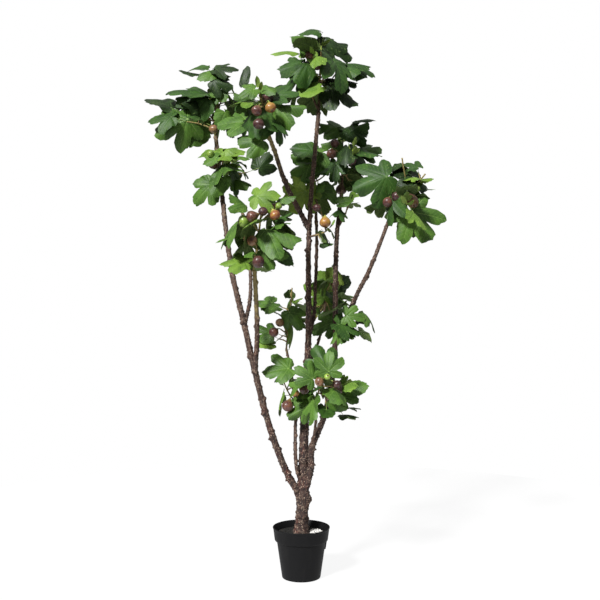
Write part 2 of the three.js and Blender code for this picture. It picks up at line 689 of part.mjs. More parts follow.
const petiolePoints = (leaf) => PETIOLE.clearAt.map((share) => leaf.foot.clone().lerp(leaf.hub, share));
const bladePoints = (leaf) => SAMPLES[leaf.form].map((point) => bladePoint(leaf, point));

function keepTwig(mass, twig) {
  mass.twigs.push(twig);
  mass.capsules.push(...twigCapsules(twig));
}

function keepLeaf(mass, leaf) {
  mass.leaves.push(leaf);
  mass.points.push(...bladePoints(leaf), ...petiolePoints(leaf));
}

function figOn(root, along, radius, stalk) {
  return { root, radius, centre: root.clone().addScaledVector(along, radius + stalk) };
}

// The part of the lead that an outer leaf springs from: near it and rather below it.
function nearestOnLead(mass, hub) {
  const steps = 20;
  let [foot, least] = [null, Infinity];
  for (let i = 2; i <= steps; i += 1) {
    const at = axisPoint(mass.lead, i / steps);
    const cost = at.distanceTo(hub) + 0.35 * (at.z - hub.z);
    if (cost < least) [least, foot] = [cost, at];
  }
  return foot;
}

function outerLeaf(mass, [x, y, z, bearing, pitch, roll, size, form]) {
  const hub = vec(...mass.spec.tip).add(vec(x, y, z));
  let foot = nearestOnLead(mass, hub);
  const far = foot.distanceTo(hub);
  if (far > LEAF.footReach * size) {
    const end = foot.clone().lerp(hub, 1 - LEAF.footShare * size / far);
    const middle = foot.clone().add(end).multiplyScalar(0.5).add(vec(0, 0, LEAF.footRise * far));
    keepTwig(mass, twigBetween(foot, middle, end, SPUR));
    foot = end;
  }
  const frame = bladeFrame(rad(bearing), rad(pitch), rad(roll));
  keepLeaf(mass, { foot, hub, size, form, curl: LEAF.outerCurl, ...frame });
}

function growOuter(mass) {
  mass.spec.outer.forEach((row) => outerLeaf(mass, row));
  for (const [at, bearing, rise, radius] of mass.spec.figs) {
    const { e1 } = bladeFrame(rad(bearing), rad(rise), 0);
    mass.figs.push(figOn(axisPoint(mass.lead, at), e1, radius, FIG.stalk));
  }
}

// A place on a twig with two directions across it.
function nodeOn(twig, along) {
  const tangent = twig.curve.getTangent(along).normalize();
  const aside = Math.abs(tangent.z) > 0.5 ? vec(1, 0, 0) : UP;
  const p1 = tangent.clone().cross(aside).normalize();
  return { at: axisPoint(twig, along), tangent, p1, p2: tangent.clone().cross(p1) };
}

function sideShoot(mass, others, random) {
  const rule = SHOOT_RULE;
  for (let tries = 0; tries < rule.tries; tries += 1) {
    const at = random.between(...rule.along);
    const turn = random.between(0, FULL_TURN);
    const rise = rad(random.between(...rule.rise));
    const length = random.between(...rule.length);
    const toward = bladeFrame(turn, rise, 0).e1.multiply(vec(...mass.spec.reach));
    const start = axisPoint(mass.lead, at);
    const end = start.clone().addScaledVector(toward, length);
    const middle = start.clone().add(end).multiplyScalar(0.5).add(vec(0, 0, -rule.sag));
    const shoot = twigBetween(start, middle, end, SHOOT);
    const points = [1, 2, 3, 4].map((i) => shoot.curve.getPoint(i / TWIG_PARTS));
    if (insideReach(mass, points, rule.slack)
      && distanceToCapsules(points, limbCapsules) >= CLEAR.shootLimb
      && distanceToCapsules(points, others.capsules) >= CLEAR.shootTwig
      && distanceToCapsules(points.slice(1), mass.capsules.slice(TWIG_PARTS)) >= CLEAR.shootOwn
      && distanceToPoints(points, others.points) >= CLEAR.shootLeaf
      && distanceToPoints(points, mass.points) >= CLEAR.shootOwnLeaf
      && distanceToFigs(points, others.figs) >= CLEAR.leafFig) return shoot;
  }
  return null;
}

function shootFig(mass, shoot, others, sizes, random) {
  const rule = FIG_RULE;
  for (let tries = 0; tries < rule.tries; tries += 1) {
    const along = random.between(...rule.along);
    const turn = random.between(0, FULL_TURN);
    const radius = random.between(...sizes);
    const node = nodeOn(shoot, along);
    const toward = node.tangent.multiplyScalar(rule.forward).addScaledVector(node.p1, Math.cos(turn))
      .addScaledVector(node.p2, Math.sin(turn)).normalize();
    const fig = figOn(node.at, toward, radius, rule.stalk);
    const centre = [fig.centre];
    if (insideReach(mass, centre, rule.slack)
      && distanceToCapsules(centre, limbCapsules) >= radius + CLEAR.figLimb
      && distanceToCapsules(centre, others.capsules) >= radius + CLEAR.figTwig
      && distanceToCapsules(centre, mass.capsules) >= radius + CLEAR.figOwnTwig
      && distanceToPoints(centre, others.points) >= radius + CLEAR.figOtherLeaf
      && distanceToPoints(centre, mass.points) >= radius + CLEAR.figOwnLeaf
      && distanceToFigs(centre, others.figs) >= radius + CLEAR.figFig) return fig;
  }
  return null;
}

function pickForm(pick, tipness, size) {
  const rule = FORM_RULE;
  if (tipness > rule.youngFrom || size < rule.smallUnder) return pick < rule.youngOval ? 'oval' : 'three';
  if (pick < rule.five) return 'five';
  return pick < rule.three ? 'three' : 'oval';
}

// "tipness" runs from 0 at a shoot's lowest leaf to 1 at its tip, where leaves are younger and smaller.
function shootLeaf(mass, shoot, others, order, tipness, startTurn, random) {
  const rule = LEAF_RULE;
  const aged = (old, young) => random.between(...old) * (1 - tipness) + random.between(...young) * tipness;
  const node = nodeOn(shoot, rule.along[0] + (rule.along[1] - rule.along[0]) * tipness);
  for (let tries = 0; tries < rule.tries; tries += 1) {
    const shift = random.between(-rule.turn, rule.turn) + Math.floor(tries / 2) * rule.retryTurn;
    const turn = startTurn + order * GOLDEN_ANGLE + shift;
    const spread = rad(aged(rule.spreadOld, rule.spreadYoung));
    const size = mass.spec.leaf * random.between(...rule.size) * (1 - rule.youngLess * tipness ** 2);
    const toward = node.tangent.clone().multiplyScalar(Math.cos(spread))
      .addScaledVector(node.p1, Math.sin(spread) * Math.cos(turn))
      .addScaledVector(node.p2, Math.sin(spread) * Math.sin(turn));
    const petiole = size * random.between(...rule.petiole);
    const pitch = rad(aged(rule.pitchOld, rule.pitchYoung));
    const bearing = Math.atan2(toward.y, toward.x) + random.between(-rule.bearing, rule.bearing);
    const roll = rad(random.between(-rule.roll, rule.roll));
    const form = pickForm(random(), tipness, mass.spec.leaf);
    const curl = random.between(...rule.curl);
    const hub = node.at.clone().addScaledVector(toward, petiole).add(vec(0, 0, -rule.droop * petiole));
    const leaf = { foot: node.at, hub, size, form, curl, ...bladeFrame(bearing, pitch, roll) };
    const blade = bladePoints(leaf);
    const stem = petiolePoints(leaf);
    if (leaf.e1.dot(toward) > rule.fold
      && insideReach(mass, blade, 1)
      && distanceToCapsules(blade, limbCapsules) >= CLEAR.leafLimb
      && distanceToCapsules(stem, limbCapsules) >= CLEAR.petioleLimb
      && distanceToCapsules(blade, mass.capsules) >= CLEAR.leafOwnTwig
      && distanceToCapsules(blade, others.capsules) >= CLEAR.leafOtherTwig
      && distanceToPoints(blade, others.points) >= CLEAR.leafOther
      && distanceToPoints(blade, mass.points) >= CLEAR.leafOwn
      && distanceToFigs(blade, others.figs) >= CLEAR.leafFig
      && distanceToFigs(stem, others.figs) >= CLEAR.petioleFig) return leaf;
  }
  return null;
}

function shootFigs(mass, shoot, others, random) {
  for (let i = 0; i < mass.spec.shootFigs; i += 1) {
    const fig = shootFig(mass, shoot, others, i === 0 ? FIG_RULE.first : FIG_RULE.later, random);
    if (fig !== null) {
      mass.figs.push(fig);
      others.figs.push(fig);
    }
  }
}

// Order 0 is the lead itself, and the side shoots follow.
function growShoot(mass, others, order, random) {
  const shoot = order > 0 ? sideShoot(mass, others, random) : mass.lead;
  if (shoot === null) return;
  if (order > 0) {
    keepTwig(mass, shoot);
    shootFigs(mass, shoot, others, random);
  }
  const startTurn = random.between(0, FULL_TURN);
  const count = order > 0 ? mass.spec.shootLeaves : mass.spec.leadLeaves;
  for (let i = 0; i < count; i += 1) {
    const leaf = shootLeaf(mass, shoot, others, i, i / Math.max(count - 1, 1), startTurn, random);
    if (leaf !== null) keepLeaf(mass, leaf);
  }
}

function growShoots(mass, index) {
  const rest = grown.filter((other) => other !== mass);
  for (let order = 0; order <= mass.spec.shoots; order += 1) {
    const { seed, mass: massStep, shoot } = SEED_STEPS;
    const random = randomFrom(mass.spec.seed * seed + index * massStep + order * shoot);
    const others = {
      capsules: rest.flatMap((other) => other.capsules),
      points: rest.flatMap((other) => other.points),
      figs: grown.flatMap((other) => other.figs),
    };
    growShoot(mass, others, order, random);
  }
}

function massSolid(mass) {
  const parts = [
    ...mass.twigs.map(twigGeometry), ...mass.leaves.map(leafGeometry), ...mass.figs.map(figGeometry),
  ];
  const joined = parts.map(toSolid).reduce((all, part) => all.add(part));
  return clearOfLimb(joined, mass.spec.limb);
}

// ---------------------------------------------------------------- the tree

grown.forEach((mass) => growOuter(mass));
grown.forEach((mass, index) => growShoots(mass, index));

const tree = new THREE.Group();
addNode(tree, 'pot', potSolid(), BLACK_PLASTIC);
addNode(tree, 'pot_filling', fillingSolid(), DARK_FILLING);
for (const [name, limb] of Object.entries(LIMBS)) addNode(tree, name, limbSolid(limb), BARK);
for (const mass of grown) addNode(tree, mass.name, massSolid(mass), FOLIAGE);

export default tree;
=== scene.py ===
"""A potted fig tree: bark, leaves, figs, pot and studio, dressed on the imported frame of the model."""
import json
import logging
import math
from dataclasses import dataclass, field
from enum import Enum
from typing import Any, Callable, Sequence

import bpy
import numpy as np
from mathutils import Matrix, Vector, noise

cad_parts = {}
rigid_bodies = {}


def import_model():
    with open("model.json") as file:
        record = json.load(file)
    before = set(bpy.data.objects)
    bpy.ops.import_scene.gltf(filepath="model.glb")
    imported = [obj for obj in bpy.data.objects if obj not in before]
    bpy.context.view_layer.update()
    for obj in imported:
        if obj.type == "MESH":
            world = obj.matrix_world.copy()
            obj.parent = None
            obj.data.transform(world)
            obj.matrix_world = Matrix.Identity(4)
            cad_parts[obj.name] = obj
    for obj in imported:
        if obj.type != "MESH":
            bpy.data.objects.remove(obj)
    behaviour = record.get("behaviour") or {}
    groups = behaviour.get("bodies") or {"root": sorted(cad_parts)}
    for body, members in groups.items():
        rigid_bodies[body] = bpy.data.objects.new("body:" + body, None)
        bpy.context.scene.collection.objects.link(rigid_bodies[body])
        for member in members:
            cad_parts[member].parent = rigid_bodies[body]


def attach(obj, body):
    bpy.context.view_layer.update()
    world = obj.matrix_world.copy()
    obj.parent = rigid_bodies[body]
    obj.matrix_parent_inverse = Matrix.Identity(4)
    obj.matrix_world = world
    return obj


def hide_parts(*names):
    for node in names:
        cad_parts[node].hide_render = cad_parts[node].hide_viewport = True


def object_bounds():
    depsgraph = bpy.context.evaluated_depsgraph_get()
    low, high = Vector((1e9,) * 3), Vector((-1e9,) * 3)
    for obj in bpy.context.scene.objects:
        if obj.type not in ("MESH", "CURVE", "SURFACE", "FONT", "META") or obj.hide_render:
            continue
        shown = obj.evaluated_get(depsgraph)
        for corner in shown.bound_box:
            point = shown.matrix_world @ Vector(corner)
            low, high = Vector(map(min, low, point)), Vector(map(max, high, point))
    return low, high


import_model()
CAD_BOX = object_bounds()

LOG = logging.getLogger("fig_tree")
Array = np.ndarray
Pair = tuple[float, float]
Triple = tuple[float, float, float]
Colour = Triple

MM = 0.001
FULL_TURN = 2 * math.pi
GOLDEN_ANGLE = math.radians(137.508)
UP = np.array([0.0, 0.0, 1.0])


# ---- numbers and curves


class Chance:
    """Seeded random numbers, the same on every run."""

    MASK = 0xFFFFFFFF
    STEP = 0x6D2B79F5

    def __init__(self, seed: int) -> None:
        """Starts the stream from any whole number."""
        self.state = seed & self.MASK

    def next(self) -> float:
        """Draws the next number.

        Returns:
            A number from 0 to 1.
        """
        self.state = (self.state + self.STEP) & self.MASK
        t = self.state
        t = ((t ^ (t >> 15)) * (t | 1)) & self.MASK
        t = (t ^ ((t + (((t ^ (t >> 7)) * (t | 61)) & self.MASK)) & self.MASK)) & self.MASK
        return ((t ^ (t >> 14)) & self.MASK) / 2**32

    def between(self, ends: Pair) -> float:
        """A number between two ends."""
        return ends[0] + (ends[1] - ends[0]) * self.next()

    def pick(self, weights: Sequence[float]) -> int:
        """An index, as often as its weight says.

        Args:
            weights: One weight for each choice.

        Returns:
            The index chosen.
        """
        mark = self.next() * sum(weights)
        for index, weight in enumerate(weights):
            mark -= weight
            if mark < 0:
                return index
        return len(weights) - 1


def vec(x: float, y: float, z: float) -> Array:
    """A point or direction."""
    return np.array([x, y, z], float)


def unit(v: Array) -> Array:
    """v at length 1."""
    return v / np.linalg.norm(v)


def direction(bearing: float, rise: float) -> Array:
    """The unit direction of a bearing and rise in radians."""
    return vec(math.cos(bearing) * math.cos(rise), math.sin(bearing) * math.cos(rise), math.sin(rise))


def heading(bearing: float, rise: float) -> Array:
    """The unit direction of a bearing and rise in degrees."""
    return direction(math.radians(bearing), math.radians(rise))


class Curve:
    """A path in space. Subclasses give the point at a fraction of its run."""

    STEP = 1e-4
    LENGTH_STEPS = 200

    def point(self, at: float) -> Array:
        """The point at a fraction from 0 to 1."""
        raise NotImplementedError

    def tangent(self, at: float) -> Array:
        """The unit direction at a fraction from 0 to 1."""
        low, high = max(at - self.STEP, 0.0), min(at + self.STEP, 1.0)
        return unit(self.point(high) - self.point(low))

    def length(self) -> float:
        """The length of the path."""
        points = np.array([self.point(i / self.LENGTH_STEPS) for i in range(self.LENGTH_STEPS + 1)])
        return float(np.linalg.norm(np.diff(points, axis=0), axis=1).sum())

    def frames(self, rings: int) -> list[tuple[Array, Array, Array, Array]]:
        """Places, directions and two cross directions that turn as little as they can.

        Args:
            rings: How many steps the path is cut into.

        Returns:
            Place, tangent, side and cross direction of each ring.
        """
        found = []
        side = vec(1, 0, 0) if abs(self.tangent(0)[0]) < 0.9 else vec(0, 1, 0)
        for i in range(rings + 1):
            along = self.tangent(i / rings)
            side = unit(side - along * side.dot(along))
            found.append((self.point(i / rings), along, side, np.cross(along, side)))
        return found


class Spline(Curve):
    """A smooth curve through every point of a path."""

    def __init__(self, points: Sequence[Sequence[float]]) -> None:
        """Keeps the points, with one more beyond each end.

        Args:
            points: At least two of them, in order.
        """
        p = np.array(points, float)
        self.count = len(p) - 1
        self.points = np.vstack([2 * p[0] - p[1], p, 2 * p[-1] - p[-2]])

    def point(self, at: float) -> Array:
        """The point at a fraction of the run.

        Args:
            at: A fraction from 0 to 1.

        Returns:
            The point.
        """
        place = min(max(at, 0.0), 1.0) * self.count
        i = min(int(place), self.count - 1)
        w = place - i
        a, b, c, d = self.points[i:i + 4]
        square, cube = 2 * a - 5 * b + 4 * c - d, 3 * b - 3 * c + d - a
        return 0.5 * (2 * b + (c - a) * w + square * w**2 + cube * w**3)


class Arc(Curve):
    """A quadratic curve from start to end that is drawn towards a middle point."""

    def __init__(self, start: Array, middle: Array, end: Array) -> None:
        """Keeps the three points."""
        self.start, self.middle, self.end = start, middle, end

    def point(self, at: float) -> Array:
        """The point at a fraction from 0 to 1."""
        return (1 - at) ** 2 * self.start + 2 * at * (1 - at) * self.middle + at * at * self.end


# ---- shader maths


class Value:
    """A float socket on which Python's arithmetic adds Math nodes."""

    def __init__(self, shader: "Shader", socket: bpy.types.NodeSocket) -> None:
        """Wraps a socket of a shader's tree."""
        self.shader, self.socket = shader, socket

    def maths(self, operation: str, *others: "Value | float") -> "Value":
        """The result of a Math node on this value and its further inputs."""
        return self.shader.maths(operation, self, *others)

    def __add__(self, other: "Value | float") -> "Value":
        """self + other."""
        return self.maths("ADD", other)

    __radd__ = __add__

    def __sub__(self, other: "Value | float") -> "Value":
        """self - other."""
        return self.maths("SUBTRACT", other)

    def __rsub__(self, other: float) -> "Value":
        """other - self."""
        return self.shader.maths("SUBTRACT", other, self)

    def __mul__(self, other: "Value | float") -> "Value":
        """self * other."""
        return self.maths("MULTIPLY", other)

    __rmul__ = __mul__

    def fraction(self) -> "Value":
        """What is left above the whole number."""
        return self.maths("FRACT")

    def absolute(self) -> "Value":
        """The value without its sign."""
        return self.maths("ABSOLUTE")

    def rises(self, low: float, high: float) -> "Value":
        """0 below low and 1 above high, smooth between them; low may be above high.

        Args:
            low: Where the result is 0.
            high: Where the result is 1.

        Returns:
            The smooth step.
        """
        flipped = low > high
        ends = (high, low) if flipped else (low, high)
        sockets = {"Value": self, "From Min": ends[0], "From Max": ends[1]}
        node = self.shader.node("ShaderNodeMapRange", {"interpolation_type": "SMOOTHSTEP"}, sockets)
        step = Value(self.shader, node.outputs["Result"])
        return 1 - step if flipped else step


Link = Value | bpy.types.NodeSocket | float | Sequence[float]


class Shader:
    """One material and its node tree."""

    def __init__(self, name: str, world: bool = False) -> None:
        """Makes an empty node material, or the tree of a world.

        Args:
            name: The finish's name.
            world: Whether it is a world.
        """
        self.owner = (bpy.data.worlds if world else bpy.data.materials).new(name)
        self.owner.use_nodes = True
        self.tree = self.owner.node_tree
        self.tree.nodes.clear()

    def node(self, kind: str, settings: dict[str, Any], sockets: dict[str | int, Link]) -> bpy.types.Node:
        """Any node of the tree.

        Args:
            kind: The node's type.
            settings: Its properties, or the stops of a ramp, set first.
            sockets: Values or links of its inputs, by name or place.

        Returns:
            The node.
        """
        node = self.tree.nodes.new(kind)
        for key, value in settings.items():
            if key == "stops":
                self.set_stops(node, value)
            else:
                setattr(node, key, value)
        for key, value in sockets.items():
            source = value.socket if isinstance(value, Value) else value
            if isinstance(source, bpy.types.NodeSocket):
                self.tree.links.new(source, node.inputs[key])
            else:
                node.inputs[key].default_value = source
        return node

    @staticmethod
    def set_stops(node: bpy.types.Node, stops: Sequence[tuple[float, Colour]]) -> None:
        """Sets the stops of a colour ramp.

        Args:
            node: The ramp.
            stops: Places from 0 to 1 with their colours.
        """
        elements = node.color_ramp.elements
        while len(elements) < len(stops):
            elements.new(1.0)
        for element, (place, colour) in zip(elements, stops):
            element.position = place
            element.color = (*colour, 1.0)

    def maths(self, operation: str, *inputs: Value | float) -> Value:
        """The result of a Math node with its inputs in order."""
        node = self.node("ShaderNodeMath", {"operation": operation}, dict(enumerate(inputs)))
        return Value(self, node.outputs[0])

    def mix(self, factor: Value | float, under: Link, over: Link) -> bpy.types.NodeSocket:
        """One colour laid over another.

        Args:
            factor: How far the upper one shows, from 0 to 1.
            under: The lower colour.
            over: The upper colour.

        Returns:
            The mixed colour.
        """
        colours = [c if isinstance(c, bpy.types.NodeSocket) else (*c, 1.0) for c in (under, over)]
        sockets = {0: factor, 6: colours[0], 7: colours[1]}
        return self.node("ShaderNodeMix", {"data_type": "RGBA"}, sockets).outputs[2]

    def place(self) -> bpy.types.NodeSocket:
        """The point on the object, in metres."""
        return self.node("ShaderNodeTexCoord", {}, {}).outputs["Object"]

    def attribute(self, name: str) -> Value:
        """An attribute of the mesh's points."""
        settings = {"attribute_name": name, "attribute_type": "GEOMETRY"}
        return Value(self, self.node("ShaderNodeAttribute", settings, {}).outputs["Fac"])

    def scaled(self, place: bpy.types.NodeSocket, scale: Sequence[float]) -> bpy.types.NodeSocket:
        """A place multiplied by a scale along each axis."""
        settings = {"operation": "MULTIPLY"}
        return self.node("ShaderNodeVectorMath", settings, {0: place, 1: tuple(scale)}).outputs[0]

    def clouds(self, place: bpy.types.NodeSocket, scale: float, detail: float = 3.0) -> Value:
        """Soft noise from 0 to 1 with about "scale" patches in a metre and "detail" finer layers."""
        sockets = {"Vector": place, "Scale": scale, "Detail": detail, "Roughness": 0.55}
        return Value(self, self.node("ShaderNodeTexNoise", {}, sockets).outputs[0])

    def cells(self, place: bpy.types.NodeSocket, scale: float, feature: str = "F1") -> Value:
        """The distance from cell middles (F1) or DISTANCE_TO_EDGE, with "scale" cells in a metre."""
        node = self.node("ShaderNodeTexVoronoi", {"feature": feature}, {"Vector": place, "Scale": scale})
        return Value(self, node.outputs["Distance"])

    def bump(self, height: Value, depth: float, strength: float = 1.0) -> bpy.types.NodeSocket:
        """A normal bumped by a relief of about 0 to 1, of which 1 measures "depth" metres."""
        sockets = {"Strength": strength, "Distance": depth, "Height": height}
        return self.node("ShaderNodeBump", {}, sockets).outputs[0]

    def surface(self, colour: Link, rough: Link, more: dict[str | int, Link]) -> bpy.types.Material:
        """Ends the tree in a Principled shader.

        Args:
            colour: The base colour.
            rough: The roughness.
            more: The shader's further inputs.

        Returns:
            The finished material.
        """
        sockets = {"Base Color": colour, "Roughness": rough, **more}
        shader = self.node("ShaderNodeBsdfPrincipled", {}, sockets)
        self.node("ShaderNodeOutputMaterial", {}, {"Surface": shader.outputs[0]})
        return self.owner


# ---- finishes


@dataclass(frozen=True)
class LeafSide:
    """One side of a leaf: its tone, with fine veins and a soft mottle."""

    name: str
    tone: Colour
    deep: Colour
    vein: Colour
    gloss: float = 0.42
    vein_shows: float = 0.35
    relief: float = 0.0005

    def material(self) -> bpy.types.Material:
        """Makes the material.

        Returns:
            The node material.
        """
        s = Shader(self.name)
        place = s.place()
        broad = s.clouds(place, 22)
        fine = s.clouds(place, 160, 2.0)
        rank = s.attribute("side_vein")
        ribs = ((rank * 9).fraction() - 0.5).absolute().rises(0.38, 0.5)
        net = s.cells(place, 210, "DISTANCE_TO_EDGE").rises(0.09, 0.0)
        veins = ribs * self.vein_shows + net * (self.vein_shows * 0.4)
        colour = s.mix(broad.rises(0.36, 0.64), self.deep, self.tone)
        colour = s.mix(veins, colour, self.vein)
        rough = self.gloss + fine * 0.16
        height = fine * 0.4 - ribs * 0.5 - net * 0.25
        normal = s.bump(height, self.relief, 0.6)
        return s.surface(colour, rough, {"Normal": normal, "Specular IOR Level": 0.32})


@dataclass(frozen=True)
class StemFinish:
    """Veins, petioles and buds: a smooth skin of two near tones."""

    name: str
    tone: Colour
    other: Colour
    gloss: float = 0.42
    scale: float = 60.0

    def material(self) -> bpy.types.Material:
        """Makes the material.

        Returns:
            The node material.
        """
        s = Shader(self.name)
        place = s.place()
        patches = s.clouds(place, self.scale)
        colour = s.mix(patches.rises(0.35, 0.65), self.tone, self.other)
        rough = self.gloss + s.clouds(place, 400, 2.0) * 0.15
        return s.surface(colour, rough, {"Normal": s.bump(patches, 0.0004, 0.5)})


@dataclass(frozen=True)
class BarkFinish:
    """Bark that turns from grey-brown on old wood to green on young shoots, with its furrows darkened as
    painted shade.
    """

    name: str = "fig_bark"
    old: Colour = (0.056, 0.027, 0.020)
    # dark: the colour of the bark's dark streaks, and of painted shade in its furrows.
    dark: Colour = (0.013, 0.007, 0.007)
    pale: Colour = (0.46, 0.34, 0.25)
    rust: Colour = (0.115, 0.030, 0.020)
    middle: Colour = (0.095, 0.049, 0.029)
    young: Colour = (0.34, 0.265, 0.085)

    def material(self) -> bpy.types.Material:
        """Makes the material.

        Returns:
            The node material.
        """
        s = Shader(self.name)
        place = s.place()
        age = s.attribute("youth")
        pits = s.attribute("pits")
        bumps = s.attribute("bumps")
        streaks = s.clouds(s.scaled(place, (1, 1, 0.25)), 230, 4.0)
        blotch = s.clouds(place, 62, 4.0)
        flecks = s.cells(s.scaled(place, (1, 1, 0.7)), 215)
        speckle = flecks.rises(0.37, 0.20) * s.clouds(place, 75).rises(0.42, 0.56)
        blush = s.clouds(s.scaled(place, (1, 1, 0.3)), 34).rises(0.50, 0.66)
        wood = s.mix(blush * 0.8, self.old, self.rust)
        wood = s.mix(age.rises(0.15, 0.62), wood, self.middle)
        wood = s.mix((age + (blotch - 0.5) * 0.5).rises(0.62, 0.86), wood, self.young)
        # Dark streaks are the bark's own colour; the furrow depth ("pits") adds painted shade in the furrows.
        streaks_and_furrow_shade = (streaks.rises(0.62, 0.4) * 0.7 + pits * 0.55) * (1 - age * 0.6)
        colour = s.mix(streaks_and_furrow_shade.rises(0.0, 1.0), wood, self.dark)
        colour = s.mix(blotch.rises(0.54, 0.74) * 0.16, colour, self.pale)
        colour = s.mix(speckle * (0.92 - age * 0.35), colour, self.pale)
        colour = s.mix(bumps * (0.20 - age * 0.05), colour, self.pale)
        height = streaks * 0.8 + blotch * 0.4 + speckle * 0.3
        rough = 0.86 - age * 0.3 + streaks * 0.08
        return s.surface(colour, rough, {"Normal": s.bump(height, 0.0014, 0.8)})


@dataclass(frozen=True)
class FigSkin:
    """The skin of a fig: a blush over a ground colour, pale dots and soft ribs."""

    name: str
    ground: Colour
    blush: Colour
    neck: Colour
    gloss: float = 0.3

    def material(self) -> bpy.types.Material:
        """Makes the material.

        Returns:
            The node material.
        """
        s = Shader(self.name)
        place = s.place()
        up = s.attribute("fig_up")
        rib = s.attribute("fig_rib")
        patches = s.clouds(place, 55, 3.0)
        dots = s.cells(place, 420).rises(0.3, 0.16)
        colour = s.mix(patches.rises(0.38, 0.6), self.ground, self.blush)
        colour = s.mix(up.rises(0.42, 0.08) * 0.8, colour, self.neck)
        colour = s.mix(rib * 0.18, colour, self.neck)
        colour = s.mix(dots * 0.3, colour, (0.55, 0.42, 0.28))
        rough = self.gloss + patches * 0.15
        height = patches * 0.5 + dots * 0.2
        normal = s.bump(height, 0.0005, 0.5)
        return s.surface(colour, rough, {"Normal": normal, "Coat Weight": 0.15, "Coat Roughness": 0.25})


@dataclass(frozen=True)
class PotPlastic:
    """Matt black moulded plastic with a fine grain and a trace of dust."""

    name: str = "pot_black"
    tone: Colour = (0.0042, 0.0042, 0.0047)
    dust: Colour = (0.013, 0.0125, 0.012)

    def material(self) -> bpy.types.Material:
        """Makes the material.

        Returns:
            The node material.
        """
        s = Shader(self.name)
        place = s.place()
        grain = s.clouds(place, 900, 2.0)
        smears = s.clouds(s.scaled(place, (1, 1, 0.3)), 26, 4.0)
        colour = s.mix(smears.rises(0.5, 0.8) * 0.35, self.tone, self.dust)
        rough = 0.46 + grain * 0.12 + smears * 0.16
        height = grain * 0.5 + smears * 0.3
        normal = s.bump(height, 0.0002, 0.5)
        return s.surface(colour, rough, {"Normal": normal, "Specular IOR Level": 0.16})


@dataclass(frozen=True)
class CrumbFinish:
    """Loose filling in the pot, from dark crumbs to pale flakes."""

    name: str
    tone: Colour
    other: Colour

    def material(self) -> bpy.types.Material:
        """Makes the material.

        Returns:
            The node material.
        """
        s = Shader(self.name)
        place = s.place()
        patches = s.clouds(place, 120, 4.0)
        colour = s.mix(patches.rises(0.35, 0.65), self.tone, self.other)
        rough = 0.85 + patches * 0.1
        return s.surface(colour, rough, {"Normal": s.bump(patches, 0.0012, 0.9)})


@dataclass(frozen=True)
class FloorFinish:
    """The pale studio floor, lit from within like a light table so that shadows on it stay faint."""

    name: str = "studio_floor"
    tone: Colour = (0.09, 0.09, 0.09)
    other: Colour = (0.11, 0.11, 0.11)
    glow: float = 0.89

    def material(self) -> bpy.types.Material:
        """Makes the material.

        Returns:
            The node material.
        """
        s = Shader(self.name)
        patches = s.clouds(s.place(), 1.5)
        colour = s.mix(patches, self.tone, self.other)
        glow = {"Emission Color": (1, 1, 1, 1), "Emission Strength": self.glow}
        return s.surface(colour, 0.9, {"Specular IOR Level": 0.1, **glow})


class LeafTone(Enum):
    """The colours of leaves, from the oldest to the youngest; as dealt out by mass and by letter, they are
    partly painted light and shade.
    """

    DARK = 0
    DEEP = 1
    MID = 2
    FRESH = 3
    YOUNG = 4


UPPER_SIDES = (
    LeafSide("leaf_dark", (0.018, 0.045, 0.008), (0.009, 0.022, 0.005), (0.044, 0.091, 0.018)),
    LeafSide("leaf_deep", (0.035, 0.094, 0.012), (0.019, 0.054, 0.009), (0.083, 0.177, 0.030)),
    LeafSide("leaf_mid", (0.075, 0.166, 0.020), (0.040, 0.098, 0.013), (0.154, 0.289, 0.050)),
    LeafSide("leaf_fresh", (0.149, 0.262, 0.030), (0.088, 0.177, 0.020), (0.264, 0.407, 0.075)),
    LeafSide("leaf_young", (0.237, 0.353, 0.040), (0.154, 0.257, 0.030), (0.352, 0.471, 0.090)),
)
UNDER_SIDES = (
    LeafSide(
        "leaf_under", (0.095, 0.150, 0.032), (0.060, 0.105, 0.024), (0.19, 0.27, 0.07), 0.6, 0.5, 0.0009,
    ),
    LeafSide(
        "leaf_under_young", (0.27, 0.38, 0.065), (0.19, 0.30, 0.050), (0.38, 0.48, 0.14), 0.55, 0.5, 0.0009,
    ),
)
VEIN = StemFinish("leaf_vein", (0.23, 0.36, 0.08), (0.17, 0.28, 0.06))
DARK_VEIN = StemFinish("leaf_vein_dark", (0.085, 0.16, 0.032), (0.055, 0.11, 0.022))
PETIOLE_SKIN = StemFinish("leaf_stalk", (0.25, 0.33, 0.07), (0.15, 0.24, 0.05))
BUD_SKIN = StemFinish("tip_bud", (0.38, 0.46, 0.06), (0.26, 0.36, 0.05))
OSTIOLE = StemFinish("fig_eye", (0.060, 0.022, 0.014), (0.13, 0.05, 0.025), 0.5, 300.0)


# ---- meshes


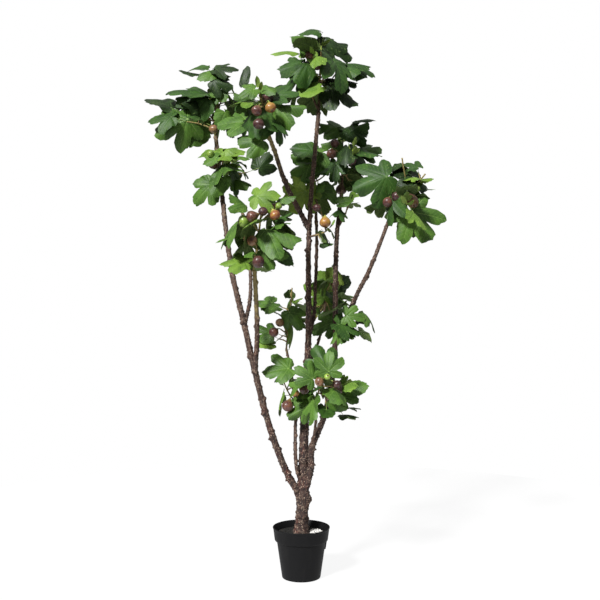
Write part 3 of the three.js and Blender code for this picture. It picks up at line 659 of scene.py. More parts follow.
class Joined:
    """Many small forms gathered into one mesh, with a finish for each face and numbers for each point."""

    def __init__(
        self, name: str, finishes: Sequence[bpy.types.Material], numbers: Sequence[str] = (),
    ) -> None:
        """Starts an empty mesh.

        Args:
            name: The piece's name.
            finishes: Its materials, by place.
            numbers: The names of its point attributes.
        """
        self.name, self.finishes, self.numbers = name, list(finishes), list(numbers)
        self.points: list[Array] = []
        self.faces: list[list[int]] = []
        self.finish: list[int] = []
        self.values: dict[str, list[Array]] = {key: [] for key in numbers}
        self.count = 0

    def add(self, points: Array, faces: Array, finish: int | Array = 0, **values: Array | float) -> None:
        """Adds one form.

        Args:
            points: Its points, in metres.
            faces: Rows of point numbers; a triangle repeats its last one.
            finish: The place of its material, for all faces or for each.
            values: The attributes' values.
        """
        self.points.append(points)
        self.faces.extend((faces + self.count).tolist())
        self.finish.extend(np.broadcast_to(finish, len(faces)).tolist())
        for key in self.numbers:
            self.values[key].append(np.broadcast_to(values.get(key, 0.0), len(points)).astype(np.float32))
        self.count += len(points)

    def piece(self, replaces: Sequence[str]) -> bpy.types.Object:
        """Makes the object that rides on the part.

        Args:
            replaces: The nodes that it stands for.

        Returns:
            The object.
        """
        mesh = bpy.data.meshes.new(self.name)
        faces = [f[:3] if f[2] == f[3] else f for f in self.faces]
        mesh.from_pydata(np.vstack(self.points).tolist(), [], faces)
        mesh.polygons.foreach_set("material_index", self.finish)
        mesh.polygons.foreach_set("use_smooth", [True] * len(faces))
        for key in self.numbers:
            layer = mesh.attributes.new(key, "FLOAT", "POINT")
            layer.data.foreach_set("value", np.concatenate(self.values[key]))
        for finish in self.finishes:
            mesh.materials.append(finish)
        mesh.update()
        body = bpy.data.objects.new(self.name, mesh)
        bpy.context.scene.collection.objects.link(body)
        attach(body, "root")
        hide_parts(*replaces)
        triangles = sum(len(f) - 2 for f in faces)
        LOG.info("%s: %d triangles", self.name, triangles)
        return body


def ring_faces(rings: int, sides: int, closed: bool = True) -> Array:
    """Quads between rings of points.

    Args:
        rings: How many rings there are.
        sides: Points in each.
        closed: Whether each ring closes on itself.

    Returns:
        Rows of four point numbers.
    """
    start = np.arange(rings - 1)[:, None] * sides
    side = np.arange(sides if closed else sides - 1)[None]
    following = (side + 1) % sides
    corners = [start + side, start + following, start + sides + following, start + sides + side]
    return np.stack(corners, -1).reshape(-1, 4)


def fan(centre: int, ring: Array, outward: bool) -> Array:
    """Triangles from a centre point to a closed ring, as rows of four.

    Args:
        centre: The centre's number.
        ring: The ring's point numbers.
        outward: Whether the ring is read forwards.

    Returns:
        The rows.
    """
    following = np.roll(ring, -1)
    pair = (ring, following) if outward else (following, ring)
    return np.stack([np.full(len(ring), centre), pair[0], pair[1], pair[1]], -1)


def swept(
    curve: Curve, rings: int, sides: int, radius: Callable[[float, Array], Array | float],
) -> tuple[Array, Array]:
    """A tube along a curve with both ends closed.

    Args:
        curve: The path, in millimetres.
        rings: Steps along it.
        sides: Points round it.
        radius: The radius at a fraction and at angles.

    Returns:
        Points in metres, ring by ring with the two end points last, and faces.
    """
    angles = np.arange(sides) * FULL_TURN / sides
    points = []
    for i, (at, _, side, cross) in enumerate(curve.frames(rings)):
        r = np.broadcast_to(radius(i / rings, angles), sides)[:, None]
        points.append(at + r * (np.cos(angles)[:, None] * side + np.sin(angles)[:, None] * cross))
    ends = np.array([curve.point(0), curve.point(1)])
    first, last = np.arange(sides), np.arange(sides) + rings * sides
    total = (rings + 1) * sides
    faces = np.vstack([ring_faces(rings + 1, sides), fan(total, first, False), fan(total + 1, last, True)])
    return np.vstack([*points, ends]) * MM, faces


def turn_round_z(angle: float) -> Array:
    """The matrix that turns rows of points round +Z."""
    c, s = math.cos(angle), math.sin(angle)
    return np.array([[c, s, 0], [-s, c, 0], [0, 0, 1]])


def turned(profile: Sequence[Pair], sides: int) -> tuple[Array, Array]:
    """A turned form round +Z.

    Args:
        profile: Radii and heights.
        sides: Points round it.

    Returns:
        Points and faces.
    """
    angles = np.arange(sides) * FULL_TURN / sides
    circle = np.stack([np.cos(angles), np.sin(angles), np.zeros(sides)], -1)
    points = np.vstack([circle * r + UP * z for r, z in profile])
    return points, ring_faces(len(profile), sides)


# ---- the growth rule


class LeafForm(Enum):
    """The outlines that a leaf can have."""

    FIVE = "five"
    THREE = "three"
    OVAL = "oval"
    BUD = "bud"


FIVE, THREE, OVAL, BUD = LeafForm


def polar(angle: float, r: float) -> Pair:
    """A point at an angle in degrees and a radius."""
    return (r * math.cos(math.radians(angle)), r * math.sin(math.radians(angle)))


@dataclass(frozen=True)
class Outline:
    """A leaf's outline, as fractions of its length, and its fine margin.

    The corners are kept clear of other things. The margin gives angles and radii from the tip round
    to the stalk, the lobes are the angles of its ribs, and the count is how many points go round it.
    """

    corners: tuple[Pair, ...]
    margin: tuple[Pair, ...]
    lobes: tuple[float, ...]
    count: int

    def clear_points(self) -> Array:
        """Finds the points that are kept clear of everything else.

        Returns:
            Points of the rim, between its corners and inside it.
        """
        mirrored = [(x, -y) for x, y in reversed(self.corners) if y > 0]
        rim = np.array([*mirrored, *self.corners])
        rings = [rim * share for share in (0.35, 0.7, 1)]
        return np.vstack([[[0, 0]], *rings, (rim + np.roll(rim, -1, 0)) / 2])


OUTLINES = {
    FIVE: Outline(
        ((1, 0), (0.62, 0.2), polar(27, 0.43), polar(49, 0.87), polar(67, 0.6), polar(84, 0.35),
         polar(108, 0.6)),
        ((0, 1), (3.5, 0.985), (7.5, 0.96), (11, 0.93), (14, 0.88), (18, 0.80), (21, 0.71), (23.5, 0.60),
         (25.2, 0.50), (26.5, 0.43), (28, 0.49), (30, 0.60), (33, 0.70), (37, 0.79), (42, 0.85), (48, 0.875),
         (54, 0.86), (60, 0.81), (66, 0.73), (71, 0.64), (75.5, 0.54), (79, 0.44), (82, 0.39), (85.5, 0.44),
         (90, 0.52), (95, 0.575), (102, 0.61), (109, 0.62), (118, 0.59), (128, 0.51), (141, 0.37),
         (157, 0.22), (172, 0.09)),
        (0, 48, 109), 84,
    ),
    THREE: Outline(
        ((1, 0), (0.62, 0.25), polar(30, 0.53), polar(52, 0.8), polar(76, 0.56), polar(125, 0.42)),
        ((0, 1), (5, 0.985), (10, 0.945), (15, 0.88), (19.5, 0.80), (23, 0.715), (26, 0.62), (28, 0.54),
         (29.5, 0.49), (31.5, 0.54), (34, 0.63), (38, 0.72), (43, 0.785), (49, 0.815), (55, 0.81),
         (62, 0.775), (70, 0.705), (79, 0.61), (89, 0.53), (101, 0.48), (116, 0.45), (132, 0.385),
         (148, 0.28), (163, 0.165), (175, 0.07)),
        (0, 52, 116), 76,
    ),
    OVAL: Outline(
        ((1, 0), polar(26, 0.8), polar(66, 0.52), polar(135, 0.4)),
        ((0, 1), (4, 0.97), (10, 0.92), (18, 0.86), (28, 0.775), (40, 0.685), (54, 0.6), (72, 0.53),
         (92, 0.475), (112, 0.435), (132, 0.375), (151, 0.275), (168, 0.14), (177, 0.06)),
        (0, 54), 48,
    ),
    BUD: Outline(
        ((1, 0), polar(14, 0.7), polar(50, 0.26)),
        ((0, 1), (4, 0.93), (9, 0.84), (14, 0.72), (20, 0.59), (28, 0.46), (42, 0.335), (62, 0.245),
         (95, 0.175), (130, 0.12), (160, 0.06)),
        (0,), 28,
    ),
}
CLEAR_POINTS = {form: outline.clear_points() for form, outline in OUTLINES.items()}


@dataclass
class Limb:
    """The trunk or a bough: a path that tapers from base to tip, in millimetres."""

    parent: str | None
    base: float
    tip: float
    taper: float
    youth: Pair
    path: tuple[Triple, ...]
    curve: Spline = field(init=False)
    length: float = field(init=False)

    def __post_init__(self) -> None:
        """Draws the curve through the path."""
        self.curve = Spline(self.path)
        self.length = self.curve.length()

    def radius(self, at: float) -> float:
        """The bare radius at a fraction of its run."""
        return self.tip + (self.base - self.tip) * (1 - at) ** self.taper


LIMBS = {
    "trunk": Limb(None, 23, 6.5, 2.2, (0, 0.62), (
        (0, 0, 148), (8, 5, 401), (13, 13, 616), (26, 16, 869), (26, 8, 1176), (37, -8, 1391),
        (62, -16, 1669))),
    "bough_far_left": Limb("trunk", 12, 7, 1, (0.02, 0.72), (
        (4, 0, 287), (-51, -16, 376), (-111, -48, 542), (-164, -80, 750), (-204, -80, 926), (-247, -32, 1096),
        (-284, 64, 1319), (-325, 176, 1619))),
    "bough_left": Limb("bough_far_left", 8.5, 6.5, 1, (0.25, 1.0), (
        (-164, -80, 743), (-154, -112, 857), (-154, -152, 969), (-159, -192, 1098))),
    "bough_left_inner": Limb("bough_far_left", 6.5, 4.2, 1, (0.3, 0.8), (
        (-200, -80, 908), (-182, -56, 996), (-184, 0, 1111), (-208, 80, 1284), (-269, 168, 1447))),
    "stem_low_left": Limb("trunk", 6.5, 3.6, 1, (0.2, 0.7), (
        (3, 0, 334), (-17, -16, 394), (-22, -13, 494), (-21, 8, 617), (-37, 32, 734), (-55, 56, 817))),
    "bough_right": Limb("trunk", 11.5, 6.5, 1, (0.02, 0.6), (
        (5, 0, 276), (33, -13, 386), (39, -19, 470), (88, -32, 604), (119, -16, 799), (124, 24, 1069),
        (131, 64, 1235), (152, 120, 1407))),
    "bough_far_right": Limb("bough_right", 8.2, 5.5, 1, (0.2, 0.6), (
        (126, -10, 852), (154, -32, 918), (196, -80, 1017), (242, -120, 1114), (299, -168, 1269))),
    "bough_upper_left": Limb("trunk", 9, 5.5, 1, (0.2, 0.92), (
        (29, 3, 1255), (-5, -19, 1311), (-57, -72, 1411), (-87, -128, 1494), (-115, -176, 1569))),
    "stem_behind": Limb("trunk", 5.8, 4.4, 1, (0.3, 0.7), (
        (26, 16, 859), (46, 42, 938), (52, 64, 1051), (57, 83, 1218), (51, 96, 1419))),
    "twig_low": Limb("bough_right", 4.4, 3.4, 1, (0.4, 0.7), (
        (39, -19, 470), (47, -48, 528), (51, -77, 581), (46, -99, 623))),
    "twig_mid": Limb("trunk", 4.6, 3.4, 1, (0.4, 0.7), (
        (24, 14, 750), (47, 64, 805), (70, 112, 862), (92, 176, 988))),
}


@dataclass(frozen=True)
class Mass:
    """One mass of foliage, in millimetres.

    The lead runs from the limb at the fraction "at" of its length to the tip, and all stays within an
    ellipsoid of half-sizes "reach". Rows of "outer" are the leaves of the outline: the blade's foot
    from the tip (x, y, z), bearing, pitch, roll, blade length and form. Rows of "figs" are the place
    along the lead, bearing, rise and radius. The letters of "tones" colour the leaves of "outer", partly
    as painted light and shade that stands for how brightly each leaf is lit. Rows of "more" are further
    leaves that follow the rule's own ones, with their curl and tone after the form; these tones are
    partly painted light and shade too.
    Rows of "fruit" settle the figs: middle from the tip (x, y, z), bearing, rise, radius and skin. Rows
    of "stems" are further stems: the place on the lead, the end from the tip (x, y, z) and the radius.
    """

    limb: str
    at: float
    tip: Triple
    centre: Triple
    reach: Triple
    lead_leaves: int
    shoots: int
    leaf: float
    shoot_figs: int
    seed: int
    outer: tuple[tuple[Any, ...], ...]
    figs: tuple[tuple[float, ...], ...]
    tones: str = ""
    more: tuple[tuple[Any, ...], ...] = ()
    fruit: tuple[tuple[float, ...], ...] = ()
    stems: tuple[tuple[float, ...], ...] = ()

    def from_tip(self, x: float, y: float, z: float) -> Array:
        """A place that is given from the tip."""
        return vec(*self.tip) + vec(x, y, z)


MASSES = {
    "foliage_top": Mass(
        "trunk", 1, (71, 16, 1900), (89, 6, 1833), (228, 220, 193), 2, 2, 115, 1, 79,
        ((-30, -35, 30, -150, 15, 35, 80, THREE), (-15, 15, 30, 10, 0, -50, 130, FIVE),
         (80, 30, -45, 10, 10, -32, 135, THREE), (35, -45, -150, -15, -26, -42, 118, THREE),
         (-50, -65, -65, -165, -5, 45, 120, THREE), (-60, 20, -70, 170, -30, 55, 110, FIVE),
         (40, 50, -90, 15, 0, -15, 115, THREE), (-10, -60, -150, -160, -20, 35, 90, OVAL)),
        ((0.8, -120, 10, 16), (0.65, -60, 0, 18)),
        "MDEDEEDF",
        ((-12, 0, 68, 178, 14, 30, 78, OVAL, 0.4, "E"), (-35, -30, 32, 170, -5, 45, 66, OVAL, 0.2, "F"),
         (10, 30, 55, -10, -15, -45, 125, THREE, 0.35, "D"),
         (72, -30, -62, -8, 14, -24, 112, THREE, 0.45, "E"), (-85, 0, -10, 180, 18, 25, 95, BUD, 0.3, "F"),
         (-75, -50, -60, 180, -8, 50, 85, THREE, 0.2, "E"),
         (-30, -55, -20, -165, -15, 55, 60, THREE, 0.1, "F")),
        fruit=((-42, -62, -36, -100, -50, 16.5, 1), (-15, -45, -69, -60, -40, 15, 0)),
        stems=((0.03, -47, -30, -130, 4.4), (0.45, 30, -10, -70, 3.4)),
    ),
    "foliage_far_left": Mass(
        "bough_far_left", 1, (-323, 208, 1824), (-422, 203, 1731), (232, 200, 200), 2, 2, 112, 1, 91,
        ((-50, -20, -45, -175, 15, 25, 145, THREE), (-175, 0, -90, 170, 30, 35, 120, OVAL),
         (-105, -55, -145, -170, -22, 75, 140, FIVE), (-5, 0, 55, -25, -20, -15, 75, FIVE),
         (-55, 20, 40, 175, 10, 15, 110, BUD), (-80, -20, -140, -155, -80, 60, 125, OVAL)),
        ((0.15, -105, 0, 17),),
        "EDMEDM",
        ((-35, 0, 62, 176, 12, 46, 92, BUD, 0.35, "E"), (0, -20, 50, -15, 5, -40, 85, THREE, 0.3, "D"),
         (-10, -40, 5, -20, -10, -55, 75, THREE, 0.2, "D"),
         (-15, -30, 30, -160, -10, 50, 62, OVAL, 0.2, "M"),
         (-35, -45, -65, 174, 8, 58, 145, THREE, 0.2, "E"),
         (-165, -70, -140, 178, -5, 50, 100, THREE, 0.3, "E"),
         (15, -20, -30, -170, -60, 60, 75, THREE, 0.1, "M")),
        fruit=((-4, -95, -191, -110, 60, 17, 2),),
    ),
    "foliage_upper_left": Mass(
        "bough_upper_left", 1, (-131, -232, 1691), (-135, -227, 1652), (190, 170, 200), 2, 2, 105, 1, 19,
        ((-50, 35, -95, 170, 5, 45, 120, THREE), (0, -15, -165, -175, 0, 85, 95, THREE),
         (55, -15, -55, -15, 5, -55, 95, THREE), (-45, 55, 10, 155, -30, 55, 90, THREE),
         (-65, 25, 25, -40, 80, -115, 85, BUD)),
        ((0.5, -150, -10, 17), (0.15, -120, -10, 17), (0.6, -10, 10, 17)),
        "MMMED",
        ((45, 0, -15, -15, 5, -50, 90, THREE, 0.2, "E"), (-35, -20, -30, -170, 20, 50, 70, THREE, 0.2, "M")),
        fruit=((-14, -82, -80, -130, -60, 17.5, 1), (30, -62, -65, -60, -60, 17.5, 3),
               (-8, -80, -122, -110, -50, 18.5, 0)),
    ),
    "foliage_far_right": Mass(
        "bough_far_right", 1, (370, -200, 1374), (344, -195, 1314), (225, 200, 212), 2, 2, 108, 1, 30,
        ((-4, -45, -85, -20, -56, -68, 136, FIVE), (-85, -25, 35, -175, -20, 80, 125, FIVE),
         (-15, 65, 70, 165, 5, 10, 130, THREE), (35, 0, -5, -10, 0, -15, 50, BUD)),
        ((0.45, -180, 20, 17), (0.7, -75, -10, 17), (0.6, 0, 10, 17), (1.0, 45, 20, 15)),
        "MEDF",
        ((20, 0, 25, 15, 20, -15, 65, BUD, 0.2, "F"), (-25, -30, 30, 5, -8, -40, 100, OVAL, 0.35, "D"),
         (-50, 20, 55, -5, 5, -35, 90, THREE, 0.3, "D"), (-45, -50, -62, 170, -20, 50, 52, OVAL, 0.2, "D")),
        fruit=((-84, -52, -53, -120, -50, 17.5, 1), (-55, -58, -35, -100, -50, 17, 0),
               (-6, -58, -44, -60, -50, 18.5, 0), (12, -50, -8, -60, 50, 12.5, 4)),
        stems=((0.9, -36, -50, 93, 2.1), (0.9, 41, -50, 40, 2.1)),
    ),
    "foliage_right_upper": Mass(
        "bough_right", 1, (157, 152, 1607), (187, 147, 1550), (160, 165, 185), 2, 2, 100, 1, 83,
        ((-5, 5, 40, 170, 15, 25, 90, THREE), (25, -25, 20, -10, 20, -70, 85, THREE),
         (25, -55, -55, -10, -5, -25, 125, OVAL), (45, 25, -60, 15, -35, -70, 85, THREE)),
        ((0.9, -180, 0, 16), (0.65, -180, 10, 17)),
        # Painted light: these tones, those of the further leaves and this mass's tone weights are lighter, so
        # that the mass, which lies in shade under the top, reads as lit.
        "MEED",
        ((-25, 0, 40, 175, 10, 50, 78, THREE, 0.2, "M"),
         (-20, -20, -15, 172, -10, 50, 75, THREE, 0.2, "M"), (40, 0, 60, 0, 15, -25, 90, BUD, 0.3, "E"),
         (70, 0, -45, -5, 5, -35, 85, THREE, 0.3, "M"), (5, -20, 25, 0, 10, -45, 90, THREE, 0.25, "E")),
        fruit=((-33, -60, -30, -110, -40, 16.5, 0), (-45, -62, -69, -110, -60, 18.5, 1)),
    ),
    "foliage_centre": Mass(
        "stem_behind", 1, (40, 96, 1515), (17, 86, 1425), (165, 155, 185), 3, 1, 98, 0, 98,
        ((-45, -50, -145, -120, 85, 150, 100, FIVE), (35, 15, 30, -180, -5, 60, 120, THREE)),
        (),
        # Painted light: the first leaf and the third further leaf take the young tone so that these leaves,
        # in the crown's shade, read as lit.
        "YM",
        ((0, -30, 30, 175, 8, 50, 90, OVAL, 0.2, "E"), (-10, -50, -25, -175, -15, 55, 82, THREE, 0.2, "M"),
         (-25, -70, -125, -150, -55, 60, 105, FIVE, 0.2, "Y"),
         (35, -20, -115, -20, -30, -50, 70, THREE, 0.2, "M")),
    ),
    "foliage_left": Mass(
        "bough_left", 1, (-131, -240, 1312), (-134, -240, 1229), (190, 160, 195), 2, 2, 98, 1, 11,
        ((15, -40, -84, -8, -6, -24, 132, THREE), (2, -40, -152, -10, -5, -66, 86, THREE),
         (-55, 0, -190, 180, 10, 35, 90, THREE), (-15, -20, 28, -12, 6, -58, 84, FIVE),
         (-70, -15, -110, -175, 10, 10, 90, BUD), (60, 0, -165, 0, -35, -60, 60, OVAL)),
        ((0.1, -60, 10, 20), (0.8, -180, 10, 17), (0.85, -45, 0, 16), (0.65, 40, 0, 16), (1.0, 75, 10, 12),
         (0.35, -120, 0, 16), (0.5, -180, 10, 13)),
        "MMFFME",
        fruit=((-30, -55, -43, -160, -20, 20, 1), (5, -45, -26, -90, 20, 15.5, 0),
               (44, -48, -37, -40, -60, 17.5, 3), (56, -25, -6, -30, 40, 11.5, 4),
               (-29, -72, -124, -100, 10, 17.5, 2), (-10, -62, -191, -80, -35, 21, 0),
               (-50, 0, -113, -170, 0, 13, 1)),
    ),
    "foliage_low_centre": Mass(
        "twig_low", 1, (77, -176, 751), (67, -166, 720), (145, 140, 165), 3, 2, 98, 1, 9,
        ((15, -40, 5, 0, 90, -76, 78, FIVE), (5, 5, 20, 160, 60, 70, 95, THREE),
         (-40, -20, -20, -165, 35, 80, 72, FIVE), (25, -20, -95, -25, -25, -75, 60, OVAL)),
        ((0.7, -120, 0, 17), (0.75, 0, 10, 16), (1.0, -45, 20, 12)),
        "MEMM",
        fruit=((-17, -62, -27, -110, -20, 15.5, 2), (42, -35, -39, -40, -30, 15, 0),
               (9, -66, -11, -80, 30, 11, 4)),
    ),
    "foliage_mid": Mass(
        "twig_mid", 1, (91, 200, 1065), (101, 160, 988), (150, 165, 180), 2, 1, 98, 1, 88,
        ((-5, -40, -60, -140, 80, 130, 115, FIVE), (30, -115, -150, -175, -20, 55, 95, THREE),
         (40, 25, -25, 10, 45, -65, 85, OVAL)),
        ((0.1, 150, -20, 16),),
        "FMD",
        fruit=((-48, -10, -138, 180, -20, 15, 3),),
    ),
    "foliage_low_left": Mass(
        "stem_low_left", 1, (-38, 96, 977), (-79, 86, 933), (130, 125, 140), 2, 1, 86, 0, 42,
        ((-50, -20, -5, -175, 15, 25, 80, THREE), (-70, 5, -100, 165, 20, 40, 72, THREE),
         (-5, -65, -25, -25, -50, -65, 75, THREE)),
        ((0.8, -90, 10, 15), (0.65, -180, 10, 17), (0.3, -150, 0, 17)),
        "MMM",
        ((-70, 0, 10, 175, 5, 45, 70, THREE, 0.2, "M"), (-75, -20, -112, 170, -5, 55, 62, OVAL, 0.2, "M")),
        fruit=((-5, -45, -34, -80, -50, 15, 3), (-40, -50, -63, -120, -40, 16, 2),
               (-62, -55, -98, -130, -30, 18, 1)),
        stems=((0.9, 4, -36, 63, 2.3),),
    ),
    "foliage_left_side": Mass(
        "bough_far_left", 0.93, (-288, 64, 1510), (-313, 59, 1447), (138, 120, 148), 1, 1, 88, 0, 13,
        ((0, -30, -70, -160, -65, 75, 80, OVAL), (-42, -10, -92, -170, -42, 75, 96, THREE),
         (0, -20, 10, -15, 5, -35, 90, THREE)),
        ((0.45, -180, 0, 16), (0.9, 150, 20, 12)),
        "MMF",
        ((-15, 0, 30, 178, 5, 40, 82, OVAL, 0.2, "F"), (15, -20, 35, -5, 10, -40, 72, THREE, 0.2, "F"),
         (-20, -30, 5, 170, -20, 50, 60, OVAL, 0.2, "M")),
        fruit=((-35, -10, -17, -150, -60, 17.5, 1), (-43, -20, 20, -160, 50, 13, 4)),
    ),
    "foliage_left_back": Mass(
        "bough_left_inner", 1, (-265, 200, 1520), (-219, 190, 1499), (155, 100, 110), 3, 0, 80, 1, 62,
        ((105, -35, -25, -15, 55, -95, 80, THREE),),
        ((0.55, -90, 0, 16),),
        "D",
    ),
    "foliage_low_side": Mass(
        "stem_low_left", 0.62, (-66, -16, 717), (-54, -44, 666), (130, 120, 150), 2, 0, 84, 0, 101,
        ((20, -20, 35, -170, -5, 45, 100, THREE), (85, -60, -95, -170, -30, 80, 80, THREE)),
        ((0.35, -45, 10, 16), (0.1, -135, -30, 19)),
        "MM",
        fruit=((44, -60, -47, -60, -60, 15, 3), (18, -55, -93, -130, -60, 21, 1)),
    ),
    "foliage_mid_right": Mass(
        "bough_far_right", 0.18, (174, -80, 961), (174, -80, 936), (118, 105, 120), 3, 0, 84, 0, 91,
        ((-15, -20, -20, -10, -5, -75, 65, FIVE), (-45, -25, -50, -5, -20, -35, 100, THREE)),
        (),
        "ME",
    ),
    "foliage_low_right": Mass(
        "bough_right", 0.42, (146, -96, 678), (170, -98, 671), (115, 95, 92), 2, 0, 78, 0, 47,
        ((-10, -10, -15, -10, -15, -75, 70, THREE), (20, -30, 15, -10, 10, -45, 70, OVAL)),
        (),
        "MM",
    ),
    "foliage_right_inner": Mass(
        "bough_right", 0.88, (170, 40, 1342), (159, 37, 1346), (90, 88, 95), 3, 0, 72, 0, 82,
        ((-30, -15, 5, -10, 15, -60, 55, OVAL),),
        ((0.5, -150, 0, 14),),
        "M",
    ),
    "foliage_spur": Mass(
        "trunk", 0.7, (88, -40, 1241), (74, -35, 1220), (78, 78, 88), 3, 0, 66, 0, 13,
        (),
        ((1.0, -90, 40, 19),),
        "",
        fruit=((-4, -22, 30, -90, -70, 20, 3), (-33, -10, 82, -120, -40, 14.5, 0)),
    ),
}


@dataclass(frozen=True)
class Stand:
    """A place on a twig, the twig's direction there and two directions across it."""

    at: Array
    along: Array
    side: Array
    cross: Array

    def spray(self, spread: float, turn: float) -> Array:
        """The direction at a spread off the twig and a turn round it, both in radians."""
        out = self.side * math.cos(turn) + self.cross * math.sin(turn)
        return self.along * math.cos(spread) + out * math.sin(spread)


def capsules_along(curve: Curve, parts: int, radius: Callable[[float], float]) -> Array:
    """Rows of start, end and radius for the capsules that cover a limb or twig."""
    points = [curve.point(i / parts) for i in range(parts + 1)]
    return np.array([(*points[i], *points[i + 1], radius(i / parts)) for i in range(parts)])


@dataclass
class Twig:
    """A lead, side shoot or short twig: a curve with its radii at both ends."""

    curve: Arc
    base: float
    tip: float
    rings: int
    youth: Pair

    PARTS = 4

    def radius(self, at: float) -> float:
        """The bare radius at a fraction of its run."""
        return self.base + (self.tip - self.base) * at

    def axis(self, at: float) -> Array:
        """The point on the straight steps between its rings.

        Args:
            at: A fraction of its run.

        Returns:
            The point.
        """
        ring = min(self.rings - 1, int(at * self.rings))
        start = self.curve.point(ring / self.rings)
        return start + (self.curve.point((ring + 1) / self.rings) - start) * (at * self.rings - ring)

    def stand(self, at: float) -> Stand:
        """A place on it, with the directions along and across it.

        Args:
            at: A fraction of its run.

        Returns:
            The place and its directions.
        """
        along = self.curve.tangent(at)
        side = unit(np.cross(along, vec(1, 0, 0) if abs(along[2]) > 0.5 else UP))
        return Stand(self.axis(at), along, side, np.cross(along, side))

    def capsules(self) -> Array:
        """Rows of start, end and radius that cover it."""
        return capsules_along(self.curve, self.PARTS, self.radius)


@dataclass
class Leaf:
    """A leaf: its foot on the twig, where its blade starts, and the blade's size, form and directions."""

    foot: Array
    hub: Array
    size: float
    form: LeafForm
    curl: float
    axes: tuple[Array, Array, Array]
    tipness: float = 0.3
    fine: bool = False
    tone: str = ""

    STALK_POINTS = (0.45, 0.75)

    def blade(self, plane: Array) -> Array:
        """Puts points on the curled blade.

        Args:
            plane: Points of the blade's plane, as fractions of its length.

        Returns:
            The places, in millimetres.
        """
        along, across, normal = self.axes
        sunk = self.curl * (plane**2).sum(1)
        return self.hub + self.size * (plane[:, :1] * along + plane[:, 1:] * across - sunk[:, None] * normal)

    def clear_points(self) -> tuple[Array, Array]:
        """The points of blade and stalk that are kept clear."""
        stalk = np.array([self.foot + (self.hub - self.foot) * share for share in self.STALK_POINTS])
        return self.blade(CLEAR_POINTS[self.form]), stalk


@dataclass
class Fig:
    """A fig: its stalk's root, its middle and radius, and its own axis and skin if it has them."""

    root: Array
    centre: Array
    radius: float
    axis: Array | None = None
    skin: int = -1


@dataclass
class Growth:
    """What has grown in one mass."""

    mass: Mass
    lead: Twig
    twigs: list[Twig] = field(default_factory=list)
    leaves: list[Leaf] = field(default_factory=list)
    figs: list[Fig] = field(default_factory=list)
    buds: list[tuple[Array, Array, float]] = field(default_factory=list)
    capsules: Array = field(default_factory=lambda: np.zeros((0, 7)))
    points: Array = field(default_factory=lambda: np.zeros((0, 3)))

    OUTER_CURL = 0.22
    FIG_STALK = 10.0
    LONGEST_STALK = 26.0

    def keep_twig(self, twig: Twig) -> None:
        """Adds a twig."""
        self.twigs.append(twig)
        self.capsules = np.vstack([self.capsules, twig.capsules()])

    def keep_leaf(self, leaf: Leaf) -> None:
        """Adds a leaf."""
        self.leaves.append(leaf)
        self.points = np.vstack([self.points, *leaf.clear_points()])

    def inside(self, points: Array, slack: float) -> bool:
        """Whether all points keep within the mass's reach, which a slack of 1 allows in full."""
        away = (points - np.array(self.mass.centre, float)) / np.array(self.mass.reach, float)
        return bool((away**2).sum(1).max() <= slack)

    def nearest_on_lead(self, hub: Array) -> Array:
        """The part of the lead that a leaf or fig springs from: near it and rather below it."""
        places = [self.lead.axis(i / 20) for i in range(2, 21)]
        return min(places, key=lambda at: np.linalg.norm(at - hub) + 0.35 * (at[2] - hub[2]))

    def place_leaf(self, row: tuple[Any, ...]) -> None:
        """Adds a leaf at a place of its own, on a short twig if it is far from the lead.

        Args:
            row: The blade's foot from the tip (x, y, z), bearing, pitch, roll, length, form, curl and tone.
        """
        x, y, z, bearing, pitch, roll, size, form, curl, tone = row
        hub = self.mass.from_tip(x, y, z)
        foot = self.nearest_on_lead(hub)
        far = float(np.linalg.norm(hub - foot))
        if far > 0.95 * size:
            end = foot + (hub - foot) * (1 - 0.62 * size / far)
            middle = (foot + end) / 2 + UP * 0.08 * far
            self.keep_twig(Twig(Arc(foot, middle, end), 2.8, 2, 2, (0.8, 1)))
            foot = end
        axes = blade_axes(*(math.radians(angle) for angle in (bearing, pitch, roll)))
        self.keep_leaf(Leaf(foot, hub, size, form, curl, axes, tone=tone))

    def grow_outer(self) -> None:
        """Adds the leaves of the outline and the figs on the lead."""
        for row, tone in zip(self.mass.outer, self.mass.tones):
            self.place_leaf((*row, self.OUTER_CURL, tone))
        for at, bearing, rise, radius in self.mass.figs:
            self.figs.append(fig_on(self.lead.axis(at), heading(bearing, rise), radius, self.FIG_STALK))

    def settle_figs(self) -> None:
        """Gives the figs of the lead their own places, and adds the mass's further stems."""
        for at, x, y, z, base in self.mass.stems:
            start, end = self.lead.axis(at), self.mass.from_tip(x, y, z)
            middle = (start + end) / 2 + vec(x, y, 0) * 0.12
            self.keep_twig(Twig(Arc(start, middle, end), base, 2.4, 3, (self.lead.youth[0], 0.95)))
        settled = []
        for x, y, z, bearing, rise, radius, skin in self.mass.fruit:
            centre, axis = self.mass.from_tip(x, y, z), heading(bearing, rise)
            neck = centre - axis * radius * 1.6
            root = self.nearest_on_lead(neck)
            if np.linalg.norm(neck - root) > self.LONGEST_STALK:
                end = root + (neck - root) * 0.72
                self.keep_twig(Twig(Arc(root, (root + end) / 2 - UP * 3, end), 2.8, 2.3, 2, (0.7, 0.9)))
                root = end
            settled.append(Fig(root, centre, radius, axis, skin))
        self.figs = settled + self.figs[len(self.mass.figs):]


def from_capsules(points: Array, capsules: Array) -> float:
    """The least distance of points from capsules' surfaces.

    Args:
        points: Rows of three.
        capsules: Rows of start, end and radius.

    Returns:
        The distance, or infinity where there are none.
    """
    if len(capsules) == 0:
        return math.inf
    start, step = capsules[:, :3], capsules[:, 3:6] - capsules[:, :3]
    away = points[:, None] - start[None]
    t = np.clip((away * step).sum(2) / (step**2).sum(1), 0, 1)
    return float((np.linalg.norm(away - t[..., None] * step, axis=2) - capsules[:, 6]).min())


def from_points(points: Array, others: Array) -> float:
    """The least distance between two sets of points.

    Args:
        points: Rows of three.
        others: Rows of three.

    Returns:
        The distance, or infinity where one set is empty.
    """
    if len(others) == 0 or len(points) == 0:
        return math.inf
    return float(np.sqrt(((points[:, None] - others[None]) ** 2).sum(2).min()))


